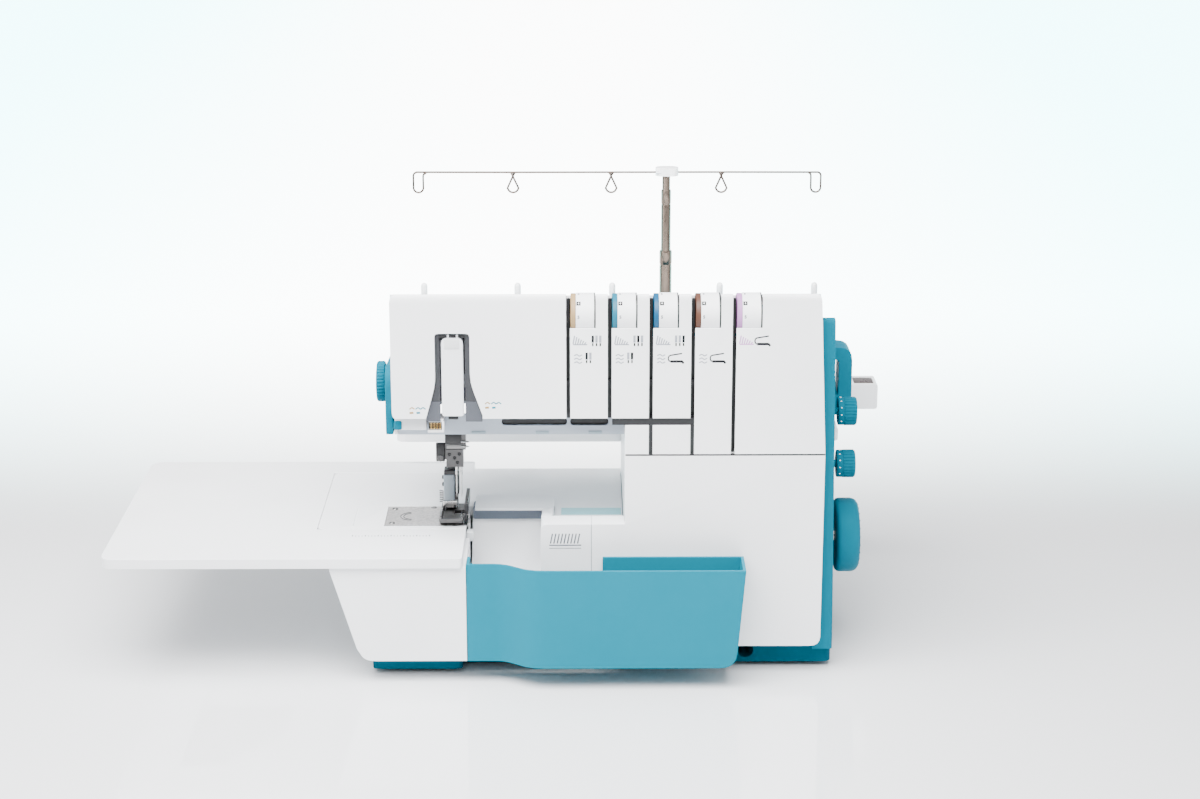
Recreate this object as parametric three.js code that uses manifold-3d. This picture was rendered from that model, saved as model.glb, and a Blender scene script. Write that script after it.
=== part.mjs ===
// A serger (overlock machine) with its extension table, trim bin and telescopic thread stand.
//
// Millimetres, +Z up, the front faces -Y and the needles are at the left of the arm. The pieces are
// drawn in the machine's own drawing frame: x = 0 lies in the throat under the arm, y = 0 is the plane
// of the front covers (y grows towards the back) and z = 0 is the surface that the rubber feet stand
// on. At the end the whole machine is moved so that its origin is the middle of its footprint.
import * as THREE from "three";
import { mergeVertices } from "three/addons/utils/BufferGeometryUtils.js";
import Module from "manifold-3d";

const wasm = await Module();
wasm.setup();

// ---------------------------------------------------------------- driving sizes
const GAP = 0.4; // clearance between neighbouring pieces
const WALL = 2.4; // moulded walls

const FOOT_HEIGHT = 3.6;
const BASE_BOTTOM = FOOT_HEIGHT + GAP;
const BASE_TOP = 16;
const COVER_BOTTOM = 22.4; // lower edge of the looper cover
const BED = 103; // top of the cloth plate and of the extension table
const BED_THICK = 8;
const SILL = 123; // top of the front edge of the bed, right of the chute
const SILL_DEPTH = 20;
const SEAM = 178.4; // between the looper cover and the front panels
const UNDERSIDE = 189; // lowest face of the arm
const ARM_BOTTOM = 207.6; // lower edge of the head cover and of the front panels
const ROOF = 304.5; // the roof's plane carried forward to the front plane
const ROOF_FALL = 0.285; // how much the roof falls for each millimetre towards the back

const HEAD_LEFT = -136;
const COLUMN_LEFT = 40;
const COVER_RIGHT = 192; // right edge of the looper cover
const ROOF_RIGHT = 186.4; // right edge of the front at the roof
const HOUSING_RIGHT = 202.5; // right face of the rear housing at its foot
const HOUSING_TOP_RIGHT = 198;
const HOUSING_TOP = 284; // at the front edge; it falls to the back like the roof
const HOUSING_FRONT = 8.4;
const ARM_BACK = 150;
const BODY_BACK = 205.4;

const NEEDLE_X = -90;
const NEEDLE_Y = 77;
const PRESSER_X = -97;
const PRESSER_Y = 92;
const FREE_ARM = { left: -200.6, right: -84, front: 46.4, back: 186.6 };
const CHUTE = { left: -80.8, right: -24.4, back: 100.6 };
const TABLE = { left: -359, right: -84, front: -21, back: 217 };
const BIN = { left: -81, right: 131.4, front: -33.4, bottom: 18, top: 97 };

const SHAFT = { y: 62, z: 92, radius: 5 };
const HANDWHEEL_RADIUS = 29.3;
const MOTOR = { y: 165, z: 62, radius: 27 };
const PULLEY_RADIUS = 27;
const MOTOR_PULLEY_RADIUS = 9;
const BELT = { left: 150, right: 164, thick: 2 };

const CHANNELS = [-1.4, 29.8, 60.9, 92.3, 123.2]; // right edge of each thread channel
const CHANNEL_WIDTH = 3;
const DIAL = { radius: 16, y: 16.2, z: 285, width: 18.3, window: 19.3, sill: 277.8 };

// The controls on the two ends all turn about axes parallel to x, at the same depth.
const CONTROL_Y = 60;
const PRESSURE = { z: 220, radius: 15.8 };
const SIDE_DIALS = {
  differential_dial: { z: 195, radius: 11.2 },
  stitch_dial: { z: 152, radius: 11 },
};
const INLET = { front: 149, back: 191, bottom: 28.4, top: 61.6 }; // power panel in the right side
const SWITCH = { y: 180, z: 45, length: 14 };
const KNEE_SOCKET = { x: 135, z: 14, radius: 6.3, depth: 24 };
const FEET = {
  front_left: [-132, 28],
  front_right: [180, 30],
  rear_left: [-132, 180],
  rear_right: [180, 182],
};

const STAND = { y: 240, top: 132, thick: 8, left: -150, right: 225, back: 262 };
const MAST_X = 78;
const PIN_OFFSETS = [-204, -125, -45, 46, 126]; // the spool pins, from the mast
const PIN = { radius: 2.5, top: 254 };
const WIRE = 1.8;
const GUIDE_Z = 349;
const LEVER = { pivotX: 186, pivotZ: 160, left: 235, right: 258, front: 217, back: 236, half: 11 };

// ---------------------------------------------------------------- looks
const look = (color, roughness, metalness = 0) =>
  new THREE.MeshStandardMaterial({ color, roughness, metalness });
const LOOKS = {
  white: look(0xe9eaec, 0.42),
  aqua: look(0x3fb6c9, 0.4),
  teal: look(0x1a90aa, 0.42),
  deepTeal: look(0x0a6a96, 0.5),
  grey: look(0x9aa2ad, 0.5),
  charcoal: look(0x2a2c30, 0.55),
  black: look(0x111214, 0.5),
  steel: look(0xb9babb, 0.3, 1),
  darkSteel: look(0x6f7174, 0.35, 1),
  tubeSteel: look(0x8f857c, 0.32, 1),
  casting: look(0x8b8f94, 0.6, 0.6),
  rubber: look(0x1b1b1c, 0.85),
};

// ---------------------------------------------------------------- shapes
// A closed geometry as a solid that can be joined and cut, with its faces turned outwards.
function solid(geometry) {
  const bare = geometry.index ? geometry.toNonIndexed() : geometry.clone();
  bare.deleteAttribute("normal");
  bare.deleteAttribute("uv");
  const merged = mergeVertices(bare, 1e-4);
  const vertProperties = merged.attributes.position.array;
  const triVerts = new Uint32Array(merged.index.array);
  const made = new wasm.Manifold(new wasm.Mesh({ numProp: 3, vertProperties, triVerts }));
  if (made.volume() > 0) return made;
  triVerts.reverse();
  return new wasm.Manifold(new wasm.Mesh({ numProp: 3, vertProperties, triVerts }));
}
const join = (...bodies) => bodies.reduce((sum, body) => sum.add(body));
const cut = (body, ...tools) => tools.reduce((rest, tool) => rest.subtract(tool), body);

function box(x0, x1, y0, y1, z0, z1) {
  const geometry = new THREE.BoxGeometry(x1 - x0, y1 - y0, z1 - z0);
  return solid(geometry.translate((x0 + x1) / 2, (y0 + y1) / 2, (z0 + z1) / 2));
}

// A closed outline through corners [u, v, radius]; a corner with a radius is rounded off, over less than
// half of each edge that meets there. It always runs anticlockwise, so that it can hold a hole.
function outline(path) {
  const points = path.map(([u, v]) => new THREE.Vector2(u, v));
  const corners = THREE.ShapeUtils.isClockWise(points) ? path.toReversed() : path;
  const shape = new THREE.Shape();
  corners.forEach(([u, v, radius = 0], i) => {
    const corner = new THREE.Vector2(u, v);
    const towards = (other) => {
      const [a, b] = corners[(other + corners.length) % corners.length];
      const edge = new THREE.Vector2(a - u, b - v);
      return edge.setLength(Math.min(radius, 0.45 * edge.length())).add(corner);
    };
    const start = radius ? towards(i - 1) : corner;
    if (i) shape.lineTo(start.x, start.y);
    else shape.moveTo(start.x, start.y);
    if (!radius) return;
    const end = towards(i + 1);
    shape.quadraticCurveTo(u, v, end.x, end.y);
  });
  return shape;
}
const rect = (u0, u1, v0, v1, radius = 0) =>
  outline([
    [u0, v0, radius],
    [u1, v0, radius],
    [u1, v1, radius],
    [u0, v1, radius],
  ]);

const pushed = (shape, depth, curveSegments) =>
  new THREE.ExtrudeGeometry(shape, { depth, bevelEnabled: false, curveSegments });
// An outline in y and z, pushed along x.
function alongX(shape, x0, x1, segments = 4) {
  const turn = new THREE.Matrix4().makeBasis(
    new THREE.Vector3(0, 1, 0),
    new THREE.Vector3(0, 0, 1),
    new THREE.Vector3(1, 0, 0),
  );
  return solid(pushed(shape, x1 - x0, segments).applyMatrix4(turn).translate(x0, 0, 0));
}
// An outline in x and z, pushed along y.
const alongY = (shape, y0, y1, segments = 4) =>
  solid(pushed(shape, y1 - y0, segments).rotateX(Math.PI / 2).translate(0, y1, 0));
// An outline in x and y, pushed along z.
const alongZ = (shape, z0, z1, segments = 4) =>
  solid(pushed(shape, z1 - z0, segments).translate(0, 0, z0));

const cylinder = (radius, length, sides) =>
  new THREE.CylinderGeometry(radius, radius, length, sides);
const rodX = (x0, x1, y, z, radius, sides = 20) =>
  solid(cylinder(radius, x1 - x0, sides).rotateZ(Math.PI / 2).translate((x0 + x1) / 2, y, z));
const rodY = (y0, y1, x, z, radius, sides = 20) =>
  solid(cylinder(radius, y1 - y0, sides).translate(x, (y0 + y1) / 2, z));
const rodZ = (z0, z1, x, y, radius, sides = 20) =>
  solid(cylinder(radius, z1 - z0, sides).rotateX(Math.PI / 2).translate(x, y, (z0 + z1) / 2));

// A round knob's edge with shallow grip grooves, as an outline in y and z.
function ribbed(y, z, radius, ribs, depth) {
  const corners = [];
  for (let i = 0; i < ribs; i++) {
    const step = (2 * Math.PI) / ribs;
    for (const [part, r] of [[0, radius], [0.6, radius], [0.8, radius - depth]]) {
      const angle = (i + part) * step;
      corners.push([y + r * Math.cos(angle), z + r * Math.sin(angle)]);
    }
  }
  return outline(corners);
}

const machine = new THREE.Group();
// Adds a body to the machine as a named mesh, placed by its own centre or by a given pivot.
function piece(name, body, material, pivot) {
  const made = body.getMesh();
  const geometry = new THREE.BufferGeometry();
  geometry.setAttribute("position", new THREE.BufferAttribute(made.vertProperties.slice(), 3));
  geometry.setIndex(new THREE.BufferAttribute(made.triVerts.slice(), 1));
  geometry.computeBoundingBox();
  const place = new THREE.Vector3();
  if (pivot) place.set(...pivot);
  else geometry.boundingBox.getCenter(place);
  geometry.translate(-place.x, -place.y, -place.z);
  geometry.computeVertexNormals();
  const mesh = new THREE.Mesh(geometry, material);
  mesh.name = name;
  mesh.position.copy(place);
  machine.add(mesh);
  return mesh;
}

const roofAt = (y) => ROOF - ROOF_FALL * y;

// ---------------------------------------------------------------- base and feet
function makeBase() {
  const right = HOUSING_RIGHT - 0.5;
  const front = 13;
  const left = -150;
  const floor = 3;
  const lipTop = COVER_BOTTOM - GAP;
  const tray = alongZ(rect(left, right, front, BODY_BACK - 0.4, 6), BASE_BOTTOM, BASE_TOP);
  const inside = alongZ(
    rect(left + WALL, right - WALL, front + WALL, BODY_BACK - 0.4 - WALL, 4),
    BASE_BOTTOM + floor,
    BASE_TOP + 1,
  );
  const lip = box(CHUTE.left, right - 4, front, front + WALL, BASE_BOTTOM, lipTop);
  const leftBlock = alongZ(rect(-156, -86, 0, 60, 5), BASE_BOTTOM, 14);
  const leftInside = box(-145, -89, 20, 56, BASE_BOTTOM + floor, 15);
  const { x, z, radius, depth } = KNEE_SOCKET;
  const boss = rodY(front, front + depth + WALL, x, z, radius + 1.7);
  const bore = rodY(front - 1, front + depth, x, z, radius);
  const shell = join(cut(tray, inside), lip, cut(leftBlock, leftInside), boss);
  piece("base_plate", cut(shell, bore), LOOKS.deepTeal);
}

function makeFeet() {
  for (const [where, [x, y]] of Object.entries(FEET)) {
    piece("foot_" + where, rodZ(0, FOOT_HEIGHT, x, y, 9), LOOKS.rubber);
  }
}

// ---------------------------------------------------------------- casings
// The turquoise housing wraps the right side and the back of the column.
function makeRearHousing() {
  const bottom = BASE_TOP + GAP;
  const left = ROOF_RIGHT + GAP;
  const backTop = HOUSING_TOP - ROOF_FALL * (BODY_BACK - HOUSING_FRONT);
  const side = (inset) => {
    const low = inset ? 0 : bottom;
    const profile = outline([
      [HOUSING_FRONT + inset, low],
      [BODY_BACK - inset, low],
      [BODY_BACK - inset, backTop - inset, 8],
      [HOUSING_FRONT + inset, HOUSING_TOP - inset, 5],
    ]);
    const front = outline([
      [left - 1, low - 1],
      [HOUSING_RIGHT - inset, low - 1],
      [HOUSING_RIGHT - inset, bottom],
      [HOUSING_TOP_RIGHT - inset, HOUSING_TOP, 3],
      [left - 1, HOUSING_TOP],
    ]);
    const plan = outline([
      [left - 2, HOUSING_FRONT + inset],
      [HOUSING_RIGHT - inset, HOUSING_FRONT + inset, 3],
      [HOUSING_RIGHT - inset, BODY_BACK - inset, 12],
      [left - 2, BODY_BACK - inset],
    ]);
    const start = inset ? left - 1 : left;
    return alongX(profile, start, HOUSING_RIGHT + 1)
      .intersect(alongY(front, 0, BODY_BACK + 5))
      .intersect(alongZ(plan, -5, HOUSING_TOP + 5));
  };
  const backWall = box(COLUMN_LEFT, left + 3, BODY_BACK - WALL, BODY_BACK, bottom, roofAt(BODY_BACK));
  const shaftHole = rodX(190, 210, SHAFT.y, SHAFT.z, 6);
  const dialHoles = Object.values(SIDE_DIALS).map(({ z }) => rodX(190, 210, CONTROL_Y, z, 3.5, 12));
  const socketHole = box(
    190,
    210,
    INLET.front - GAP,
    INLET.back + GAP,
    INLET.bottom - GAP,
    INLET.top + GAP,
  );
  piece(
    "rear_housing",
    cut(join(cut(side(0), side(WALL)), backWall), shaftHole, ...dialHoles, socketHole),
    LOOKS.teal,
  );
}

// The white shell: the roof, the back and end of the arm, and the column's inner side.
function makeBodyShell() {
  const start = HOUSING_FRONT;
  const back = BODY_BACK - WALL - GAP;
  const inner = (y) => roofAt(y) - WALL;
  const armSkin = outline([
    [start, roofAt(start)],
    [ARM_BACK, roofAt(ARM_BACK), 14],
    [ARM_BACK, UNDERSIDE],
    [ARM_BACK - WALL, UNDERSIDE],
    [ARM_BACK - WALL, inner(ARM_BACK - WALL), 11],
    [start, inner(start)],
  ]);
  const roof = outline([
    [start, roofAt(start)],
    [back, roofAt(back)],
    [back, inner(back)],
    [start, inner(start)],
  ]);
  const endWall = outline([
    [start, ARM_BOTTOM + WALL + GAP],
    [start, roofAt(start) - 1],
    [ARM_BACK - 4, roofAt(ARM_BACK - 4) - 2, 12],
    [ARM_BACK - 1, UNDERSIDE],
    [SILL_DEPTH, UNDERSIDE],
    [SILL_DEPTH, ARM_BOTTOM + WALL + GAP],
  ]);
  const columnWall = outline([
    [SILL_DEPTH + GAP, BED + GAP],
    [back, BED + GAP],
    [back, roofAt(back) - 1],
    [SILL_DEPTH + GAP, roofAt(SILL_DEPTH + GAP) - 1],
  ]);
  const rightWall = outline([
    [start, HOUSING_TOP - 16],
    [back, HOUSING_TOP - 16 - ROOF_FALL * (back - start)],
    [back, roofAt(back) - 1],
    [start, roofAt(start) - 1],
  ]);
  const shell = join(
    alongX(armSkin, HEAD_LEFT, COLUMN_LEFT + 1),
    alongX(roof, COLUMN_LEFT, ROOF_RIGHT),
    alongX(endWall, HEAD_LEFT, HEAD_LEFT + WALL),
    alongX(columnWall, COLUMN_LEFT, COLUMN_LEFT + WALL),
    alongX(rightWall, ROOF_RIGHT - WALL, ROOF_RIGHT),
  );
  const windowBack = DIAL.y + DIAL.radius + GAP;
  const windowLow = DIAL.z - DIAL.radius - 1;
  const dialWindows = CHANNELS.map((x) =>
    box(x - CHANNEL_WIDTH, x + DIAL.window, 0, windowBack, windowLow, ROOF + 2),
  );
  const frameWindow = box(COLUMN_LEFT - 2, COLUMN_LEFT + 4, 70, 140, 205, 246);
  const liftSlot = box(-107, -93, ARM_BACK - 5, ARM_BACK + 2, 206, 234);
  const knobHole = rodX(HEAD_LEFT - 2, HEAD_LEFT + 4, CONTROL_Y, PRESSURE.z, 4.6, 12);
  piece("body_shell", cut(shell, ...dialWindows, frameWindow, liftSlot, knobHole), LOOKS.white);
}

// The front covers share one section: a flat skin, a rolled top and a flange along the lower edge.
function frontSkin(x0, x1, bottom, flange = HOUSING_FRONT - GAP) {
  const end = HOUSING_FRONT - GAP;
  const section = outline([
    [0, bottom],
    [0, ROOF, 6],
    [end, roofAt(end)],
    [end, roofAt(end) - WALL],
    [WALL, roofAt(WALL) - WALL, 4],
    [WALL, bottom + WALL],
    [flange, bottom + WALL],
    [flange, bottom],
  ]);
  return alongX(section, x0, x1);
}

function makeHeadCover() {
  const right = CHANNELS[0] - CHANNEL_WIDTH;
  const face = outline([
    [HEAD_LEFT, ARM_BOTTOM - 1, 6],
    [right, ARM_BOTTOM - 1],
    [right, ROOF],
    [HEAD_LEFT, ROOF - 1, 6],
  ]);
  // The take-up slot: straight above, flaring out to the lower edge.
  const slot = (grow) =>
    outline([
      [-110.5 - grow, 200],
      [-110.5 - grow, 207],
      [-102.9 - grow, 234, 8],
      [-102.9 - grow, 274 + grow, 3],
      [-76.6 + grow, 274 + grow, 3],
      [-76.6 + grow, 236, 8],
      [-67.5 + grow, 210],
      [-67.5 + grow, 200],
    ]);
  const skin = frontSkin(HEAD_LEFT, right, ARM_BOTTOM, SILL_DEPTH - GAP);
  const tunnel = alongY(slot(1.6), WALL - 0.5, 14).intersect(
    box(-130, -50, 0, 20, ARM_BOTTOM, 280),
  );
  const cover = join(skin, tunnel).intersect(alongY(face, -1, 30));
  piece("head_cover", cut(cover, alongY(slot(0), -2, 30)), LOOKS.white);
}

// Right edge of the front at a given height: it leans in above the looper cover.
const leanAt = (z) => COVER_RIGHT - ((COVER_RIGHT - ROOF_RIGHT) * (z - SEAM)) / (ROOF - SEAM);

function makeFrontPanels() {
  const low = SEAM + GAP;
  const windowFor = (x) =>
    join(
      box(x - 1, x + DIAL.window, -2, 40, DIAL.sill, ROOF + 2),
      rodX(x - 1, x + DIAL.window, DIAL.y, DIAL.z, DIAL.radius + GAP, 48),
    );
  for (let i = 0; i < 3; i++) {
    const right = CHANNELS[i + 1] - CHANNEL_WIDTH;
    const panel = frontSkin(CHANNELS[i], right, ARM_BOTTOM);
    piece("front_panel_" + (i + 1), cut(panel, windowFor(CHANNELS[i])), LOOKS.white);
  }
  // Panel 4 carries the low panel under the dark band, joined behind the channel.
  const x4 = CHANNELS[3];
  const lowTop = 202;
  const lowPanel = join(
    box(COLUMN_LEFT, x4 - CHANNEL_WIDTH, 0, WALL, low, lowTop),
    box(COLUMN_LEFT, x4 - CHANNEL_WIDTH, 0, 8, lowTop - WALL, lowTop),
    box(COLUMN_LEFT, COLUMN_LEFT + WALL, 0, SILL_DEPTH, low, lowTop),
    box(x4 - 8, x4 + 6, WALL - 0.5, 6, low, lowTop),
  );
  const lowChannel = box(CHANNELS[2] - CHANNEL_WIDTH, CHANNELS[2], -1, 1.4, low - 1, lowTop + 1);
  const panel4 = join(frontSkin(x4, CHANNELS[4] - CHANNEL_WIDTH, low), cut(lowPanel, lowChannel));
  piece("front_panel_4", cut(panel4, windowFor(x4)), LOOKS.white);
  // Panel 5 closes the front on the right, with a leaning edge and a side flange.
  const x5 = CHANNELS[4];
  const end = HOUSING_FRONT - GAP;
  const leaning = (inset) =>
    outline([
      [x5 - 1, low - 1],
      [leanAt(low) - inset, low - 1],
      [leanAt(low) - inset, low],
      [ROOF_RIGHT - inset, ROOF - inset, 6],
      [x5 - 1, ROOF - inset],
    ]);
  const inside = alongY(leaning(WALL), -1, end + 1);
  const flange = cut(alongY(leaning(0), 0, end), inside, box(x5 - 2, 180, -1, 20, 0, 400));
  const roofCut = cut(flange, box(150, 200, -1, 20, roofAt(0) - WALL - 4, 400));
  const skin5 = frontSkin(x5, COVER_RIGHT, low).intersect(alongY(leaning(0), -1, end + 1));
  const sideFlange = roofCut.intersect(box(180, 200, 0, end, low, 400));
  piece("front_panel_5", cut(join(skin5, sideFlange), windowFor(x5)), LOOKS.white);
}

// The dark plate behind the channels, with a shelf that closes the arm's underside.
function makeThreadChannel() {
  const left = CHANNELS[0] - CHANNEL_WIDTH + GAP;
  const right = CHANNELS[4] + 3;
  const front = HOUSING_FRONT;
  const back = front + WALL;
  const top = roofAt(back) - WALL - GAP;
  const plate = join(
    box(left, COLUMN_LEFT + 3, front, back, ARM_BOTTOM - 2, top),
    box(COLUMN_LEFT + WALL + GAP, right, front, back, SEAM + GAP, top),
    box(left, COLUMN_LEFT - GAP, front, SILL_DEPTH - GAP, ARM_BOTTOM - 2, ARM_BOTTOM + GAP),
  );
  const windowBottom = DIAL.z - DIAL.radius - GAP;
  const windows = CHANNELS.map((x) => box(x - 0.3, x + DIAL.window + 0.3, 0, 20, windowBottom, ROOF));
  const guides = CHANNELS.slice(0, 4).map((x) =>
    box(x - CHANNEL_WIDTH + 0.6, x - 0.6, 4.4, front + 1, 232, 236),
  );
  piece("thread_channel", join(cut(plate, ...windows), ...guides), LOOKS.charcoal);
}

function makeArmUnderside() {
  const left = HEAD_LEFT + WALL + GAP;
  const right = COLUMN_LEFT - GAP;
  const back = ARM_BACK - WALL - GAP;
  const top = ARM_BOTTOM - 2.4;
  const shell = cut(
    box(left, right, SILL_DEPTH, back, UNDERSIDE, top),
    box(left + WALL, right - WALL, SILL_DEPTH + WALL, back - WALL, UNDERSIDE + WALL, top + 1),
  );
  const barHole = alongZ(rect(-106, -74, 42, 102, 6), UNDERSIDE - 1, UNDERSIDE + 4);
  const slots = [
    [-54, -4],
    [-1.6, 27.6],
  ].map(([x0, x1]) => alongY(rect(x0, x1, 196, 202, 2.9), SILL_DEPTH - 1, SILL_DEPTH + 4));
  piece("arm_underside", cut(shell, barHole, ...slots), LOOKS.grey);
}

function makeSideCover() {
  const profile = outline([
    [14, UNDERSIDE + 1, 4],
    [142, UNDERSIDE + 1, 8],
    [142, 232, 18],
    [14, 243, 16],
  ]);
  const inner = outline([
    [17, UNDERSIDE + 4, 3],
    [139, UNDERSIDE + 4, 6],
    [139, 229, 16],
    [17, 240, 14],
  ]);
  const left = HEAD_LEFT - 6;
  const right = HEAD_LEFT - GAP;
  const hole = rodX(left - 1, right + 1, CONTROL_Y, PRESSURE.z, 4.6, 12);
  const cover = cut(alongX(profile, left, right), alongX(inner, left + WALL, right + 1), hole);
  piece("side_cover", cover, LOOKS.teal);
}

function makeLooperCover() {
  const left = 14.6;
  const depth = HOUSING_FRONT - GAP;
  const face = outline([
    [left, COVER_BOTTOM, 3],
    [COVER_RIGHT, COVER_BOTTOM, 8],
    [COVER_RIGHT, SEAM],
    [COLUMN_LEFT, SEAM],
    [COLUMN_LEFT, SILL],
    [left, SILL],
  ]);
  const rim = outline([
    [left - 9, COVER_BOTTOM + WALL],
    [COVER_RIGHT - WALL, COVER_BOTTOM + WALL, 6],
    [COVER_RIGHT - WALL, SEAM - WALL],
    [COLUMN_LEFT + WALL, SEAM - WALL],
    [COLUMN_LEFT + WALL, SILL - WALL],
    [left - 9, SILL - WALL],
  ]);
  const shell = cut(alongY(face, 0, depth), alongY(rim, WALL, depth + 1));
  const sill = box(left, COLUMN_LEFT - GAP, 0, SILL_DEPTH, SILL - WALL, SILL);
  const sillBack = box(left, COLUMN_LEFT - GAP, SILL_DEPTH - WALL, SILL_DEPTH, BED + GAP, SILL);
  const inward = box(COLUMN_LEFT, COLUMN_LEFT + WALL, 0, SILL_DEPTH, SILL - WALL, SEAM);
  piece("looper_cover", join(shell, sill, sillBack, inward), LOOKS.white);
}

// The fixed cover left of the looper cover, with the concave chute that drops trimmings into the bin.
function makeChuteCover() {
  const right = 14.2;
  const bottom = COVER_BOTTOM + GAP;
  const mouth = 42;
  const ramp = new THREE.Shape();
  ramp.moveTo(0, mouth);
  ramp.quadraticCurveTo(62, mouth + 2, CHUTE.back - 2.6, BED - 3);
  ramp.lineTo(CHUTE.back, BED - 4.4);
  ramp.quadraticCurveTo(64, mouth - 1, WALL, mouth - WALL);
  ramp.lineTo(WALL, bottom);
  ramp.lineTo(0, bottom);
  const rimRight = CHUTE.right + 9;
  const rim = cut(
    box(CHUTE.right, rimRight, 0.5, CHUTE.back, mouth - 4, BED),
    box(CHUTE.right + WALL, rimRight - WALL, WALL, CHUTE.back - WALL, 0, BED - WALL),
  );
  const front = join(
    box(CHUTE.right, right, 0, WALL, bottom, SILL),
    box(CHUTE.right, right, 0, SILL_DEPTH, SILL - WALL, SILL),
    box(CHUTE.right, right, SILL_DEPTH - WALL, SILL_DEPTH, BED + GAP, SILL),
    box(CHUTE.right, rimRight, SILL_DEPTH - WALL, SILL_DEPTH, BED - WALL, SILL),
    box(CHUTE.right, CHUTE.right + WALL, 0, SILL_DEPTH, BED - WALL, SILL),
  );
  const corner = alongY(rect(CHUTE.right, right + 20, 0, SILL, 5), -1, CHUTE.back + 1);
  const rightPart = join(rim, front).intersect(corner);
  piece("chute_cover", join(alongX(ramp, CHUTE.left, CHUTE.right + 1, 8), rightPart), LOOKS.white);
}

function makeFreeArmBody() {
  const top = BED - BED_THICK - GAP;
  const right = BIN.left - GAP;
  const outer = outline([
    [-186, top, 3],
    [-166, 28],
    [-160, 18, 8],
    [right, 18],
    [right, top],
  ]);
  const inner = outline([
    [-183, top - WALL],
    [-163.6, 29],
    [-158, 18 + WALL, 6],
    [right - WALL, 18 + WALL],
    [right - WALL, top - WALL],
  ]);
  const front = -18;
  const back = FREE_ARM.back;
  const shell = cut(alongY(outer, front, back), alongY(inner, front + WALL, back - WALL));
  const topOpening = box(-182, right - WALL, FREE_ARM.front + 3, back - WALL, top - 4, top + 1);
  const sideOpening = box(right - 4, right + 1, 56, back - WALL, 30, top + 1);
  piece("free_arm_body", cut(shell, topOpening, sideOpening), LOOKS.white);
}

// The bed deck, whose left end is the top of the free arm.
function makeClothPlate() {
  const low = BED - BED_THICK;
  const skin = BED - WALL;
  const back = BODY_BACK - 7.8;
  const right = COLUMN_LEFT - GAP;
  const pocketLeft = CHUTE.right + 9.4;
  const arm = alongZ(
    outline([
      [FREE_ARM.left, FREE_ARM.front, 6],
      [FREE_ARM.right, FREE_ARM.front],
      [FREE_ARM.right, FREE_ARM.back],
      [FREE_ARM.left, FREE_ARM.back, 6],
    ]),
    low,
    BED,
  );
  const deck = join(
    arm,
    box(FREE_ARM.right - 1, FREE_ARM.right + 1, CHUTE.back + GAP, FREE_ARM.back, low, BED),
    box(FREE_ARM.right + GAP, right, CHUTE.back + GAP, back, low, BED),
    box(pocketLeft, right, SILL_DEPTH + GAP, CHUTE.back + 2, low, BED),
    box(FREE_ARM.right + GAP, right, back - WALL, back, BASE_TOP + GAP, low + 1),
  );
  const { left, front } = FREE_ARM;
  const hollow = [
    box(left + WALL, FREE_ARM.right - WALL, front + WALL, FREE_ARM.back - WALL, 0, skin),
    box(FREE_ARM.right - WALL - 0.1, right + 1, CHUTE.back + GAP + WALL, back - WALL, 0, skin),
    box(pocketLeft + WALL, right + 1, SILL_DEPTH + GAP + WALL, CHUTE.back + 4, 0, skin),
  ];
  const platePocket = box(-148.9, FREE_ARM.right + 1, 53.6, CHUTE.back - 0.2, 0, BED + 1);
  const hatchSeam = box(-173.3, -172.7, 54, 95, BED - 1, BED + 1);
  piece("cloth_plate", cut(deck, ...hollow, platePocket, hatchSeam), LOOKS.white);
}

function makeExtensionTable() {
  const low = BED - BED_THICK;
  const skin = BED - WALL;
  const notch = {
    left: FREE_ARM.left - GAP,
    front: FREE_ARM.front - GAP,
    back: FREE_ARM.back + GAP,
  };
  const plan = (inset) =>
    outline([
      [TABLE.left + inset, TABLE.front + inset, 11 - inset],
      [TABLE.right - inset, TABLE.front + inset, 3],
      [TABLE.right - inset, notch.front - inset],
      [notch.left - inset, notch.front - inset],
      [notch.left - inset, notch.back + inset],
      [TABLE.right - inset, notch.back + inset],
      [TABLE.right - inset, TABLE.back - inset, 3],
      [TABLE.left + inset, TABLE.back - inset, 11 - inset],
    ]);
  const shell = cut(alongZ(plan(0), low, BED), alongZ(plan(WALL), low - 1, skin));
  const ribTop = skin + 1;
  const ribsAcross = [-320, -280, -240].map((x) =>
    box(x, x + 2, TABLE.front + 1, TABLE.back - 1, low + 2, ribTop),
  );
  const ribsAlong = [40, 98, 156].map((y) =>
    box(TABLE.left + 1, notch.left - 1, y, y + 2, low + 2, ribTop),
  );
  piece("extension_table", join(shell, ...ribsAcross, ...ribsAlong), LOOKS.white);
}

// The trim bin hangs in front of the covers; behind its left half it is open towards the chute.
function makeWasteBin() {
  const back = -0.8;
  const shallow = -18;
  const plan = (inset) => {
    const shape = new THREE.Shape();
    shape.moveTo(BIN.left + inset, back - inset);
    shape.lineTo(BIN.left + inset, shallow + inset);
    shape.lineTo(-60, shallow + inset);
    shape.bezierCurveTo(-44, shallow + inset, -42, BIN.front + inset, -21, BIN.front + inset);
    shape.lineTo(BIN.right - inset, BIN.front + inset);
    shape.lineTo(BIN.right - inset, back - inset);
    return shape;
  };
  const face = (inset) =>
    outline([
      [BIN.left - 5, BIN.bottom + inset],
      [BIN.right - 6.7 - inset, BIN.bottom + inset, 12],
      [BIN.right - inset, BIN.top + 1],
      [BIN.left - 5, BIN.top + 1],
    ]);
  const body = (inset, top) =>
    alongZ(plan(inset), BIN.bottom + inset, top, 8).intersect(alongY(face(inset), -50, 10, 5));
  const shell = cut(body(0, BIN.top), body(WALL - 0.2, BIN.top + 0.5));
  const opening = box(BIN.left + WALL, 23, -6, 5, BIN.bottom + WALL, BIN.top + 5);
  piece("waste_bin", cut(shell, opening), LOOKS.aqua);
}

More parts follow.
